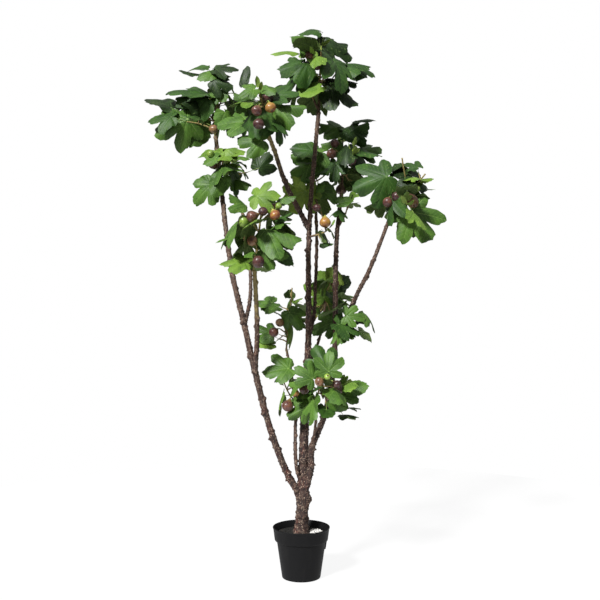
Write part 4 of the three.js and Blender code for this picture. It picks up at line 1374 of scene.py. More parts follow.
def from_figs(points: Array, figs: Sequence[Fig]) -> float:
    """The least distance of points from figs' skins.

    Args:
        points: Rows of three.
        figs: The figs.

    Returns:
        The distance, or infinity where there are none.
    """
    if not figs:
        return math.inf
    centres = np.array([fig.centre for fig in figs])
    radii = np.array([fig.radius for fig in figs])
    return float((np.linalg.norm(points[:, None] - centres[None], axis=2) - radii).min())


def blade_axes(bearing: float, pitch: float, roll: float) -> tuple[Array, Array, Array]:
    """A blade's directions along it, across it and out of its upper side.

    Args:
        bearing: Its bearing in radians.
        pitch: How far it points up.
        roll: Its turn about its own length.

    Returns:
        The three directions.
    """
    along = direction(bearing, pitch)
    level = vec(-math.cos(bearing) * math.sin(pitch), -math.sin(bearing) * math.sin(pitch), math.cos(pitch))
    normal = level * math.cos(roll) + np.cross(level, along) * math.sin(roll)
    return along, np.cross(normal, along), normal


def fig_on(root: Array, along: Array, radius: float, stalk: float) -> Fig:
    """A fig of a radius, held out by a stalk's length from its root."""
    return Fig(root, root + along * (radius + stalk), radius)


@dataclass
class Others:
    """What a growing shoot keeps clear of outside its own mass, and the figs of all masses."""

    capsules: Array
    points: Array
    figs: list[Fig]


@dataclass(frozen=True)
class Room:
    """The distances in millimetres that something new keeps, and how far into its mass's reach it stays.

    The reach counts in full at 1. The last two are the distances inside its own mass.
    """

    reach: float
    limbs: float
    twigs: float
    leaves: float
    figs: float
    own_twigs: float = -math.inf
    own_leaves: float = -math.inf


@dataclass(frozen=True)
class SmallLeaves:
    """How small leaves vary. Sizes in millimetres, angles in degrees, and sway in radians."""

    tries: int
    size: Pair
    spread: Pair
    pitch: Pair
    sway: float
    roll: float
    forms: tuple[LeafForm, ...]
    weights: tuple[float, ...]
    curl: Pair
    tipness: float

    def draw(self, stand: Stand, turn: float, chance: Chance) -> tuple[Array, Leaf]:
        """Draws a leaf that still has to be set on its place.

        Args:
            stand: Where it springs from.
            turn: Its turn round the twig.
            chance: Random numbers.

        Returns:
            The direction of its stalk and the leaf, flat and at the twig.
        """
        toward = stand.spray(math.radians(chance.between(self.spread)), turn)
        size = chance.between(self.size)
        pitch = math.radians(chance.between(self.pitch))
        bearing = math.atan2(toward[1], toward[0]) + chance.between((-self.sway, self.sway))
        form = self.forms[chance.pick(self.weights)]
        axes = blade_axes(bearing, pitch, math.radians(chance.between((-self.roll, self.roll))))
        return toward, Leaf(stand.at, stand.at, size, form, 0.0, axes, self.tipness, True)


@dataclass
class Grower:
    """Grows shoots, leaves and figs in one mass, clear of all that has grown.

    Lengths are in millimetres, angles in degrees and other pairs are shares.
    """

    growth: Growth
    limbs: Array
    others: Others
    chance: Chance
    shoot_tries: int = 10
    shoot_along: Pair = (0.15, 0.75)
    shoot_rise: Pair = (-5, 62)
    shoot_length: Pair = (0.3, 0.6)
    shoot_leaves: int = 3
    shoot_gap: float = 12.0
    fig_tries: int = 8
    fig_along: Pair = (0.3, 0.92)
    fig_sizes: tuple[Pair, Pair] = ((14.5, 19.5), (9.5, 15))
    fig_stalk: float = 9.0
    leaf_tries: int = 12
    retry_turn: float = 1.1
    leaf_along: Pair = (0.3, 1)
    leaf_spread: tuple[Pair, Pair] = ((55, 95), (20, 60))
    leaf_pitch: tuple[Pair, Pair] = ((-82, 8), (-45, 60))
    leaf_roll: Pair = (-50, 50)
    leaf_curl: Pair = (0.1, 0.42)
    tip_leaves: int = 3
    young: SmallLeaves = SmallLeaves(
        6, (24, 46), (18, 55), (10, 75), 0.4, 35, (OVAL, BUD, THREE), (3, 3, 4), (-0.15, 0.25), 1.0,
    )
    fillers: int = 5
    filler: SmallLeaves = SmallLeaves(
        10, (42, 76), (40, 80), (-45, 30), 0.5, 40, (THREE, OVAL), (6, 4), (0.1, 0.35), 0.75,
    )
    box_slack: float = 6.0
    small_gap: float = 5.5

    SHOOT_ROOM = Room(0.82, 14, 14, 16, 6, own_leaves=10)
    FIG_ROOM = Room(0.85, 6, 6, 9, 2, 1, 5)
    LEAF_ROOM = Room(1, 10, 10, 14, 6, 5.5, 8.5)
    SMALL_ROOM = Room(1, 6, 4, 9, 3)

    def has_room(self, points: Array, room: Room, more: float = 0.0) -> bool:
        """Whether points keep within their mass and off everything that has grown.

        Args:
            points: Rows of three.
            room: The distances that they keep.
            more: What every distance is longer by.

        Returns:
            Whether they do.
        """
        return (self.growth.inside(points, room.reach)
                and from_capsules(points, self.limbs) >= more + room.limbs
                and from_capsules(points, self.others.capsules) >= more + room.twigs
                and from_capsules(points, self.growth.capsules) >= more + room.own_twigs
                and from_points(points, self.others.points) >= more + room.leaves
                and from_points(points, self.growth.points) >= more + room.own_leaves
                and from_figs(points, self.others.figs) >= more + room.figs)

    def leaf_is_clear(self, leaf: Leaf) -> bool:
        """Whether a leaf keeps within the reach, and a small one also within the model's box.

        Args:
            leaf: The leaf.

        Returns:
            Whether it does.
        """
        blade, stalk = leaf.clear_points()
        if not leaf.fine:
            return (self.has_room(blade, self.LEAF_ROOM)
                    and from_capsules(stalk, self.limbs) >= 5
                    and from_figs(stalk, self.others.figs) >= 3)
        low, high = np.array(CAD_BOX) / MM
        return (bool((blade > low - self.box_slack).all() and (blade < high + self.box_slack).all())
                and self.has_room(blade, self.SMALL_ROOM)
                and from_points(blade[1:], self.growth.points) >= self.small_gap
                and from_figs(stalk, self.others.figs) >= 2)

    def side_shoot(self) -> Twig | None:
        """Draws a side shoot.

        Returns:
            The shoot, or None if every try fails.
        """
        chance, growth = self.chance, self.growth
        for _ in range(self.shoot_tries):
            at = chance.between(self.shoot_along)
            turn = chance.between((0, FULL_TURN))
            rise = math.radians(chance.between(self.shoot_rise))
            length = chance.between(self.shoot_length)
            start = growth.lead.axis(at)
            end = start + direction(turn, rise) * np.array(growth.mass.reach) * length
            shoot = Twig(Arc(start, (start + end) / 2 - UP * 8, end), 3.2, 2, 2, (0.75, 1))
            points = np.array([shoot.curve.point(i / Twig.PARTS) for i in range(1, Twig.PARTS + 1)])
            if (self.has_room(points, self.SHOOT_ROOM)
                    and from_capsules(points[1:], growth.capsules[Twig.PARTS:]) >= self.shoot_gap):
                return shoot
        return None

    def grow_fig(self, shoot: Twig, sizes: Pair) -> None:
        """Adds a fig to a side shoot, unless every try fails.

        Args:
            shoot: The shoot.
            sizes: The least and the largest radius.
        """
        for _ in range(self.fig_tries):
            stand = shoot.stand(self.chance.between(self.fig_along))
            turn = self.chance.between((0, FULL_TURN))
            radius = self.chance.between(sizes)
            out = unit(stand.along * 0.5 + stand.side * math.cos(turn) + stand.cross * math.sin(turn))
            fig = fig_on(stand.at, out, radius, self.fig_stalk)
            if self.has_room(fig.centre[None], self.FIG_ROOM, radius):
                self.growth.figs.append(fig)
                self.others.figs.append(fig)
                return

    def pick_form(self, tipness: float) -> LeafForm:
        """Draws a leaf's outline: lobed where leaves are large, and plainer near tips.

        Args:
            tipness: How near the tip it grows.

        Returns:
            The form.
        """
        pick = self.chance.next()
        if tipness > 0.85 or self.growth.mass.leaf < 70:
            return OVAL if pick < 0.4 else THREE
        if pick < 0.5:
            return FIVE
        return THREE if pick < 0.84 else OVAL

    def drawn_leaf(self, shoot: Twig, turn: float, tries: int, tipness: float) -> tuple[Leaf, Array]:
        """One try at a leaf of a shoot.

        Args:
            shoot: The shoot.
            turn: Its turn round the shoot, in radians.
            tries: How many tries went before.
            tipness: How near the shoot's tip it grows.

        Returns:
            The leaf and the direction of its stalk.
        """
        chance = self.chance

        def aged(ends: tuple[Pair, Pair]) -> float:
            """An angle between those of old and young leaves."""
            old, young = chance.between(ends[0]), chance.between(ends[1])
            return math.radians(old * (1 - tipness) + young * tipness)

        low, high = self.leaf_along
        stand = shoot.stand(low + (high - low) * tipness)
        turn = turn + chance.between((-0.5, 0.5)) + tries // 2 * self.retry_turn
        spread = aged(self.leaf_spread)
        size = self.growth.mass.leaf * chance.between((0.8, 1.15)) * (1 - 0.35 * tipness**2)
        toward = stand.spray(spread, turn)
        stalk = size * chance.between((0.3, 0.62))
        pitch = aged(self.leaf_pitch)
        bearing = math.atan2(toward[1], toward[0]) + chance.between((-0.6, 0.6))
        roll = math.radians(chance.between(self.leaf_roll))
        form = self.pick_form(tipness)
        curl = chance.between(self.leaf_curl)
        hub = stand.at + toward * stalk - UP * 0.06 * stalk
        return Leaf(stand.at, hub, size, form, curl, blade_axes(bearing, pitch, roll), tipness), toward

    def grow_shoot(self, order: int) -> None:
        """Grows the leaves of the lead, or a side shoot with its figs and leaves.

        Args:
            order: 0 for the lead, and a side shoot's number otherwise.
        """
        shoot, count = self.growth.lead, self.growth.mass.lead_leaves
        if order > 0:
            shoot, count = self.side_shoot(), self.shoot_leaves
            if shoot is None:
                return
            self.growth.keep_twig(shoot)
            for i in range(self.growth.mass.shoot_figs):
                self.grow_fig(shoot, self.fig_sizes[min(i, 1)])
        start_turn = self.chance.between((0, FULL_TURN))
        for i in range(count):
            turn, tipness = start_turn + i * GOLDEN_ANGLE, i / max(count - 1, 1)
            for tries in range(self.leaf_tries):
                leaf, toward = self.drawn_leaf(shoot, turn, tries, tipness)
                if leaf.axes[0].dot(toward) > -0.7 and self.leaf_is_clear(leaf):
                    self.growth.keep_leaf(leaf)
                    break

    def grow_tip(self, twig: Twig) -> None:
        """Grows a pointed bud on a twig's tip with a few young leaves round it.

        Args:
            twig: The twig.
        """
        chance, stand = self.chance, twig.stand(1)
        self.growth.buds.append((stand.at, unit(stand.along + UP * 0.4), chance.between((11, 17))))
        start_turn = chance.between((0, FULL_TURN))
        for i in range(self.tip_leaves):
            for _ in range(self.young.tries):
                turn = start_turn + i * GOLDEN_ANGLE + chance.between((-0.6, 0.6))
                toward, leaf = self.young.draw(stand, turn, chance)
                leaf.hub = stand.at + toward * leaf.size * chance.between((0.3, 0.6)) + UP * 2
                leaf.curl = chance.between(self.young.curl)
                if self.leaf_is_clear(leaf):
                    self.growth.keep_leaf(leaf)
                    break

    def grow_filler(self) -> None:
        """Grows a short twig off a bigger one, with a smaller leaf, unless every try fails."""
        chance, growth = self.chance, self.growth
        for _ in range(self.filler.tries):
            twig = growth.twigs[chance.pick([1] * len(growth.twigs))]
            stand = twig.stand(chance.between((0.25, 0.85)))
            toward, leaf = self.filler.draw(stand, chance.between((0, FULL_TURN)), chance)
            leaf.foot = stand.at + toward * leaf.size * 0.45
            leaf.hub = leaf.foot + toward * leaf.size * 0.4 - UP * 2
            leaf.curl = chance.between(self.filler.curl)
            if self.leaf_is_clear(leaf):
                bow = (stand.at + leaf.foot) / 2 - UP * 1.5
                growth.keep_twig(Twig(Arc(stand.at, bow, leaf.foot), 2.2, 1.6, 2, (0.85, 1)))
                growth.keep_leaf(leaf)
                return

    def grow_finer(self) -> None:
        """Grows young leaves and a bud at each shoot's tip, and small leaves between the big ones."""
        for twig in list(self.growth.twigs):
            if twig.base > 2.8:
                self.grow_tip(twig)
        for _ in range(self.fillers):
            self.grow_filler()


@dataclass
class Crown:
    """All foliage: twigs, leaves and figs grown by the rule, then finer ones within the same reach."""

    blade_share: float = 0.955
    limbs: Array = field(init=False)
    grown: list[Growth] = field(init=False)

    SEED_STEPS = (7919, 104729, 1299709)
    FINE_SEEDS = (3571, 17)

    def __post_init__(self) -> None:
        """Grows everything."""
        self.limbs = np.vstack([
            capsules_along(limb.curve, Twig.PARTS * (len(limb.path) - 1), limb.radius)
            for limb in LIMBS.values()
        ])
        self.grown = [self.start(mass) for mass in MASSES.values()]
        for growth in self.grown:
            growth.grow_outer()
        by_seed, by_mass, by_order = self.SEED_STEPS
        for index, growth in enumerate(self.grown):
            for order in range(growth.mass.shoots + 1):
                seed = growth.mass.seed * by_seed + index * by_mass + order * by_order
                self.grower(growth, seed).grow_shoot(order)
        for growth in self.grown:
            growth.settle_figs()
        by_mass, first = self.FINE_SEEDS
        for index, growth in enumerate(self.grown):
            for row in growth.mass.more:
                growth.place_leaf(row)
            self.grower(growth, index * by_mass + first).grow_finer()
            for leaf in growth.leaves:
                leaf.size *= self.blade_share

    def start(self, mass: Mass) -> Growth:
        """A mass with only its lead, which goes on from its limb's tip or bows out of the limb's side.

        Args:
            mass: The mass.

        Returns:
            Its growth.
        """
        limb = LIMBS[mass.limb]
        root, tip = limb.curve.point(mass.at), vec(*mass.tip)
        middle, base, youth = (root + tip) / 2, 0.9 * limb.radius(1), limb.youth[1]
        if mass.at < 1:
            base, youth = min(0.6 * limb.radius(mass.at), 4), 0.6
            middle = middle + vec(tip[0] - root[0], tip[1] - root[1], -0.3 * (tip[2] - root[2])) * 0.25
        growth = Growth(mass, Twig(Arc(root, middle, tip), base, 2.2, 3, (youth, 0.95)))
        growth.keep_twig(growth.lead)
        return growth

    def grower(self, growth: Growth, seed: int) -> Grower:
        """What grows one mass further, clear of all that the others have grown by now.

        Args:
            growth: The mass.
            seed: Its random numbers' seed.

        Returns:
            The grower.
        """
        rest = [other for other in self.grown if other is not growth]
        others = Others(
            np.vstack([other.capsules for other in rest]), np.vstack([other.points for other in rest]),
            [fig for other in self.grown for fig in other.figs],
        )
        return Grower(growth, self.limbs, others, Chance(seed))


# ---- leaves


@dataclass(frozen=True)
class MarginGrid:
    """A leaf's outline cut into columns, with three close columns on the rib of every lobe."""

    points: Array
    columns: tuple[tuple[int, float], ...]
    ribs: tuple[int, ...]

    @staticmethod
    def of(outline: Outline, share: float) -> "MarginGrid":
        """Cuts an outline at even steps between the tips of its lobes.

        Args:
            outline: The outline.
            share: The share of its usual number of points.

        Returns:
            The grid: margin points, and for each column its point and which side of a rib it lies on.
        """
        half = [polar(a, r) for a, r in outline.margin]
        closed = [(x, -y) for x, y in reversed(half[1:])] + half
        notch = polar(180, 0.035)
        path = Spline([notch, *closed, notch])
        steps = 40 * path.count
        fine = np.array([path.point(i / steps) for i in range(steps + 1)])
        run = np.concatenate([[0], np.cumsum(np.linalg.norm(np.diff(fine, axis=0), axis=1))])
        angles = sorted({a for lobe in outline.lobes for a in (lobe, -lobe)})
        places = [0.0]
        for angle in angles:
            tip = np.array(polar(angle, 1))
            at = int(np.argmax(np.where(np.abs(fine @ [-tip[1], tip[0]]) < 0.03, fine @ tip, -1)))
            places.append(float(run[at]))
        places.append(float(run[-1]))
        points, columns, ribs = [], [], []
        for start, end in zip(places, places[1:]):
            count = max(2, round((end - start) / run[-1] * outline.count * share))
            for i in range(count):
                s = start + (end - start) * i / count
                points.append([np.interp(s, run, fine[:, 0]), np.interp(s, run, fine[:, 1])])
                if i == 0 and start > 0:
                    ribs.append(len(points) - 1)
                    columns += [(len(points) - 1, side) for side in (-1.0, 0.0, 1.0)]
                else:
                    columns.append((len(points) - 1, 0.0))
        return MarginGrid(np.array(points), tuple(columns), tuple(ribs))


def wrapped(angle: Array) -> Array:
    """Angles brought between half a turn back and half a turn on."""
    return np.arctan2(np.sin(angle), np.cos(angle))


@dataclass
class Blade:
    """One leaf's blade with its own margin, folds, waves and raised ribs.

    Lengths are shares of the blade's own, and a pair holds the ends between which each leaf draws.
    """

    leaf: Leaf
    grid: MarginGrid
    chance: Chance
    rings: tuple[float, ...] = (0.05, 0.17, 0.32, 0.48, 0.63, 0.76, 0.87, 0.95, 1.0)
    rib_width: float = 0.0068
    rib_taper: float = 0.82
    ridge_height: float = 0.010
    ridge_width: float = 0.010
    thickness: float = 0.0042
    puff: float = 0.016
    puff_width: float = 0.035
    quilt: float = 0.004
    side_veins: int = 9
    lobes: Pair = (-0.1, 0.05)
    fill: Pair = (-0.08, 0.13)
    fold: Pair = (-0.75, 0.30)
    twist: Pair = (-0.28, 0.28)
    arch: Pair = (-1.7, 0.5)
    droop: Pair = (-0.20, 0.26)
    teeth: tuple[Pair, ...] = ((0.020, 11), (0.020, 19), (0.017, 31))
    waves: tuple[tuple[Pair, int, int], ...] = (((0.015, 0.045), 3, 6), ((0.008, 0.018), 4, 15))
    margin: Array = field(init=False)

    UNDER = 5
    UNDER_YOUNG = 6
    RIB = 7
    DARK_RIB = 8

    def __post_init__(self) -> None:
        """Draws the margin: lobes a little longer or shorter, and teeth."""
        points = self.grid.points
        angle = np.arctan2(points[:, 1], points[:, 0])
        tips = sorted((angle[rib], float(np.linalg.norm(points[rib]))) for rib in self.grid.ribs)
        hull = np.interp(angle, [turn for turn, _ in tips], [reach for _, reach in tips], 0, 0) * 0.9
        length = np.linalg.norm(points, axis=1)
        grow = 1 + self.chance.between(self.fill) * np.clip(hull / length - 1, 0, None)
        for rib in self.grid.ribs:
            grow += self.chance.between(self.lobes) * np.exp(-(wrapped(angle - angle[rib]) / 0.33) ** 2)
        run = np.arange(len(points)) / len(points) * FULL_TURN
        for share, count in self.teeth:
            grow += share * np.sin(run * count + self.chance.between((0, FULL_TURN)))
        self.margin = points * grow[:, None]

    def plane(self) -> Array:
        """Sets out the points in the blade's plane, with close columns along both sides of every rib.

        Returns:
            Points (rings * columns, 2), ring by ring.
        """
        rings = np.array(self.rings)
        points = np.zeros((len(rings), len(self.grid.columns), 2))
        for c, (index, side) in enumerate(self.grid.columns):
            tip = self.margin[index]
            points[:, c] = rings[:, None] * tip
            if side == 0.0:
                continue
            across = np.array([-tip[1], tip[0]]) / np.linalg.norm(tip)
            room = min(abs(self.margin[(index + k) % len(self.margin)] @ across) for k in (-1, 1))
            half = np.minimum(self.rib_width * (1 - self.rib_taper * rings), 0.45 * room * rings)
            points[:, c] += side * half[:, None] * across
        return points.reshape(-1, 2)

    def relief(self, flat: Array) -> tuple[Array, Array, Array]:
        """Heights of the upper side, what the ribs add below, and the numbers for the side veins.

        Args:
            flat: The points in the plane.

        Returns:
            Height, rib relief and side-vein number of each point.
        """
        chance, radius = self.chance, np.linalg.norm(flat, axis=1)
        best, along, droop, weight = np.full(len(flat), 9.0), np.zeros(len(flat)), np.zeros(len(flat)), 1e-6
        angle = np.arctan2(flat[:, 1], flat[:, 0])
        for rib in self.grid.ribs:
            tip = self.margin[rib]
            axis = tip / np.linalg.norm(tip)
            a, d = flat @ axis, np.abs(flat @ np.array([-axis[1], axis[0]]))
            d = np.where(a > 0, d, radius)
            closer = d < best
            best, along = np.where(closer, d, best), np.where(closer, a, along)
            near = np.exp(-(wrapped(angle - math.atan2(*tip[::-1])) / 0.4) ** 2)
            droop = droop + near * chance.between(self.droop)
            weight = weight + near
        rank = along - 0.8 * best
        edge = np.repeat(np.array(self.rings), len(self.grid.columns))
        tissue = self.puff * (1 - np.exp(-(best / self.puff_width) ** 2)) * np.clip(radius / 0.15, 0, 1)
        waves = np.zeros(len(flat))
        for ends, power, count in self.waves:
            swing = chance.between(ends) * edge**power
            waves += swing * np.sin(angle * count + chance.between((0, FULL_TURN)))
        across = np.sqrt(flat[:, 1] ** 2 + 0.04**2) - 0.04
        bend = chance.between(self.fold) * across + chance.between(self.twist) * flat[:, 0] * flat[:, 1]
        quilt = -self.quilt * np.cos(rank * FULL_TURN * self.side_veins)
        quilt = quilt * np.clip(best / 0.04, 0, 1) * (1 - edge**6)
        arch = chance.between(self.arch) * best**2
        height = tissue + waves + quilt + bend - droop / weight * radius**2 + arch
        ridge = self.ridge_height * np.exp(-(best / self.ridge_width) ** 2) * (1 - 0.7 * edge)
        return height, ridge, rank

    def cover(self) -> Array:
        """Lays the faces of the upper side, the under side and the rim between them.

        Returns:
            Rows of four point numbers.
        """
        rings, sides = len(self.rings), len(self.grid.columns)
        half, disc = rings * sides + 1, np.arange(sides)
        quads, rim = ring_faces(rings, sides), ring_faces(2, sides) + 2 * half
        return np.vstack([
            quads[:, ::-1], fan(half - 1, disc, True), quads + half, fan(2 * half - 1, disc + half, False),
            rim[:, ::-1],
        ])

    def skins(self, tone: LeafTone) -> Array:
        """The finish of each face, in the same order.

        Args:
            tone: The leaf's colour.

        Returns:
            The places of the finishes.
        """
        points, sides = np.array([index for index, _ in self.grid.columns]), len(self.grid.columns)
        on_rib = np.tile(points == np.roll(points, -1), len(self.rings) - 1)
        vein = self.DARK_RIB if tone in (LeafTone.DARK, LeafTone.DEEP) else self.RIB
        is_young = tone is LeafTone.YOUNG or self.leaf.tipness >= 1.0
        below = self.UNDER_YOUNG if is_young else self.UNDER
        return np.concatenate([
            np.where(on_rib, vein, tone.value), np.full(sides, vein),
            np.where(on_rib, self.RIB, below), np.full(sides, self.RIB), np.full(sides, below),
        ])

    def add_to(self, pile: Joined, tone: LeafTone) -> None:
        """Adds the blade with both its sides.

        Args:
            pile: The mesh that takes it.
            tone: Its colour.
        """
        flat = self.plane()
        height, ridge, rank = self.relief(flat)
        sides = len(self.grid.columns)
        normal, hub, last = self.leaf.axes[2] * self.leaf.size, self.leaf.hub[None], len(flat) - sides
        upper = self.leaf.blade(flat) + height[:, None] * normal
        thick = self.thickness * (1 - 0.55 * np.repeat(np.array(self.rings), sides))
        under = upper - (thick + ridge)[:, None] * normal
        under_hub = hub - (self.thickness + self.ridge_height) * normal
        pile.add(
            np.vstack([upper, hub, under, under_hub, upper[last:], under[last:]]) * MM,
            self.cover(), self.skins(tone),
            side_vein=np.concatenate([rank, [0.0], rank, [0.0], rank[last:], rank[last:]]),
        )


@dataclass
class Foliage:
    """Every leaf blade, joined by height into a few pieces, and the stalks."""

    small_share: float = 0.6
    stalk_rings: int = 9
    stalk_sides: int = 8
    tips: tuple[tuple[LeafTone, ...], Pair] = ((LeafTone.MID, LeafTone.FRESH), (3, 1))
    fine_tips: tuple[tuple[LeafTone, ...], Pair] = ((LeafTone.FRESH, LeafTone.YOUNG), (14, 1))
    grids: dict[tuple[LeafForm, bool], MarginGrid] = field(init=False)

    def __post_init__(self) -> None:
        """Cuts the outlines, more coarsely for the small leaves."""
        self.grids = {
            (form, fine): MarginGrid.of(outline, self.small_share if fine else 1.0)
            for form, outline in OUTLINES.items() for fine in (False, True)
        }

    def add_stalk(self, pile: Joined, leaf: Leaf, chance: Chance) -> None:
        """Adds the stalk of a leaf, from inside its twig to under its blade.

        Args:
            pile: The mesh that takes it.
            leaf: The leaf.
            chance: Random numbers.
        """
        end = leaf.hub - leaf.axes[2] * leaf.size * 0.006
        reach = float(np.linalg.norm(end - leaf.foot))
        bow = vec(chance.between((-1, 1)), chance.between((-1, 1)), chance.between((-0.4, 1.2)))
        middle = (leaf.foot + end) / 2 + bow * 0.06 * reach
        thick = min(1.5, 0.5 + leaf.size * 0.0095)
        pile.add(*swept(
            Arc(leaf.foot, middle, end), self.stalk_rings, self.stalk_sides,
            lambda at, _: thick * (0.8 + 0.65 * math.exp(-at * 9) + 0.25 * math.exp((at - 1) * 14)),
        ))

    def tone_of(self, name: str, leaf: Leaf, chance: Chance) -> LeafTone:
        """A leaf's colour, by its mass and age; the letters and the tone weights of a mass are partly painted
        light and shade.

        Args:
            name: The mass.
            leaf: The leaf.
            chance: Random numbers.

        Returns:
            The tone.
        """
        if leaf.tone:
            return TONE_LETTERS[leaf.tone]
        if leaf.tipness >= 1.0:
            tones, weights = self.fine_tips if leaf.fine else self.tips
            return tones[chance.pick(weights)]
        return tuple(LeafTone)[chance.pick(MASS_TONES_AND_PAINTED_LIGHT.get(name, USUAL_TONES))]

    def build(self, crown: Crown) -> None:
        """Makes the pieces of all blades and of all stalks.

        Args:
            crown: What has grown.
        """
        finishes = [finish.material() for finish in (*UPPER_SIDES, *UNDER_SIDES, VEIN, DARK_VEIN)]
        stalk_skin = PETIOLE_SKIN.material()
        grown = dict(zip(MASSES, crown.grown))
        for group, names in LEAF_GROUPS.items():
            pile = Joined(f"leaves_{group}", finishes, ("side_vein",))
            stalks = Joined(f"leaf_stalks_{group}", [stalk_skin])
            for name in names:
                for i, leaf in enumerate(grown[name].leaves):
                    chance = Chance(grown[name].mass.seed * 977 + i * 7411 + 5)
                    tone = self.tone_of(name, leaf, chance)
                    Blade(leaf, self.grids[leaf.form, leaf.fine], chance).add_to(pile, tone)
                    self.add_stalk(stalks, leaf, chance)
            pile.piece(names)
            stalks.piece(names)


TONE_LETTERS = dict(zip("DEMFY", LeafTone))
USUAL_TONES = (2, 4, 3, 1)
# Tone weights of each mass, partly the leaves' own colour and partly painted light and shade: masses get
# lighter or darker tones to stand for how brightly that part of the crown is lit.
MASS_TONES_AND_PAINTED_LIGHT = {
    "foliage_top": (4, 5, 2, 0.7),
    "foliage_far_left": (4, 4, 2.5, 0.5),
    "foliage_right_upper": (2.5, 4, 3, 1),
    "foliage_far_right": (4, 4, 2, 0.5),
    "foliage_centre": (1, 2.5, 4, 3),
    "foliage_left_side": (1, 3, 4, 2),
    "foliage_low_left": (0.5, 2, 4, 3),
    "foliage_low_side": (0.5, 2, 4, 3),
    "foliage_left": (0.3, 1.5, 4, 4),
    "foliage_low_centre": (1, 3, 4, 2),
}
LEAF_GROUPS = {
    "top": ("foliage_top", "foliage_right_upper", "foliage_upper_left"),
    "left": ("foliage_far_left", "foliage_left_side", "foliage_left_back", "foliage_left"),
    "middle": ("foliage_far_right", "foliage_centre", "foliage_right_inner", "foliage_spur", "foliage_mid"),
    "low": ("foliage_low_centre", "foliage_low_left", "foliage_low_side", "foliage_mid_right",
            "foliage_low_right"),
}


# ---- bark


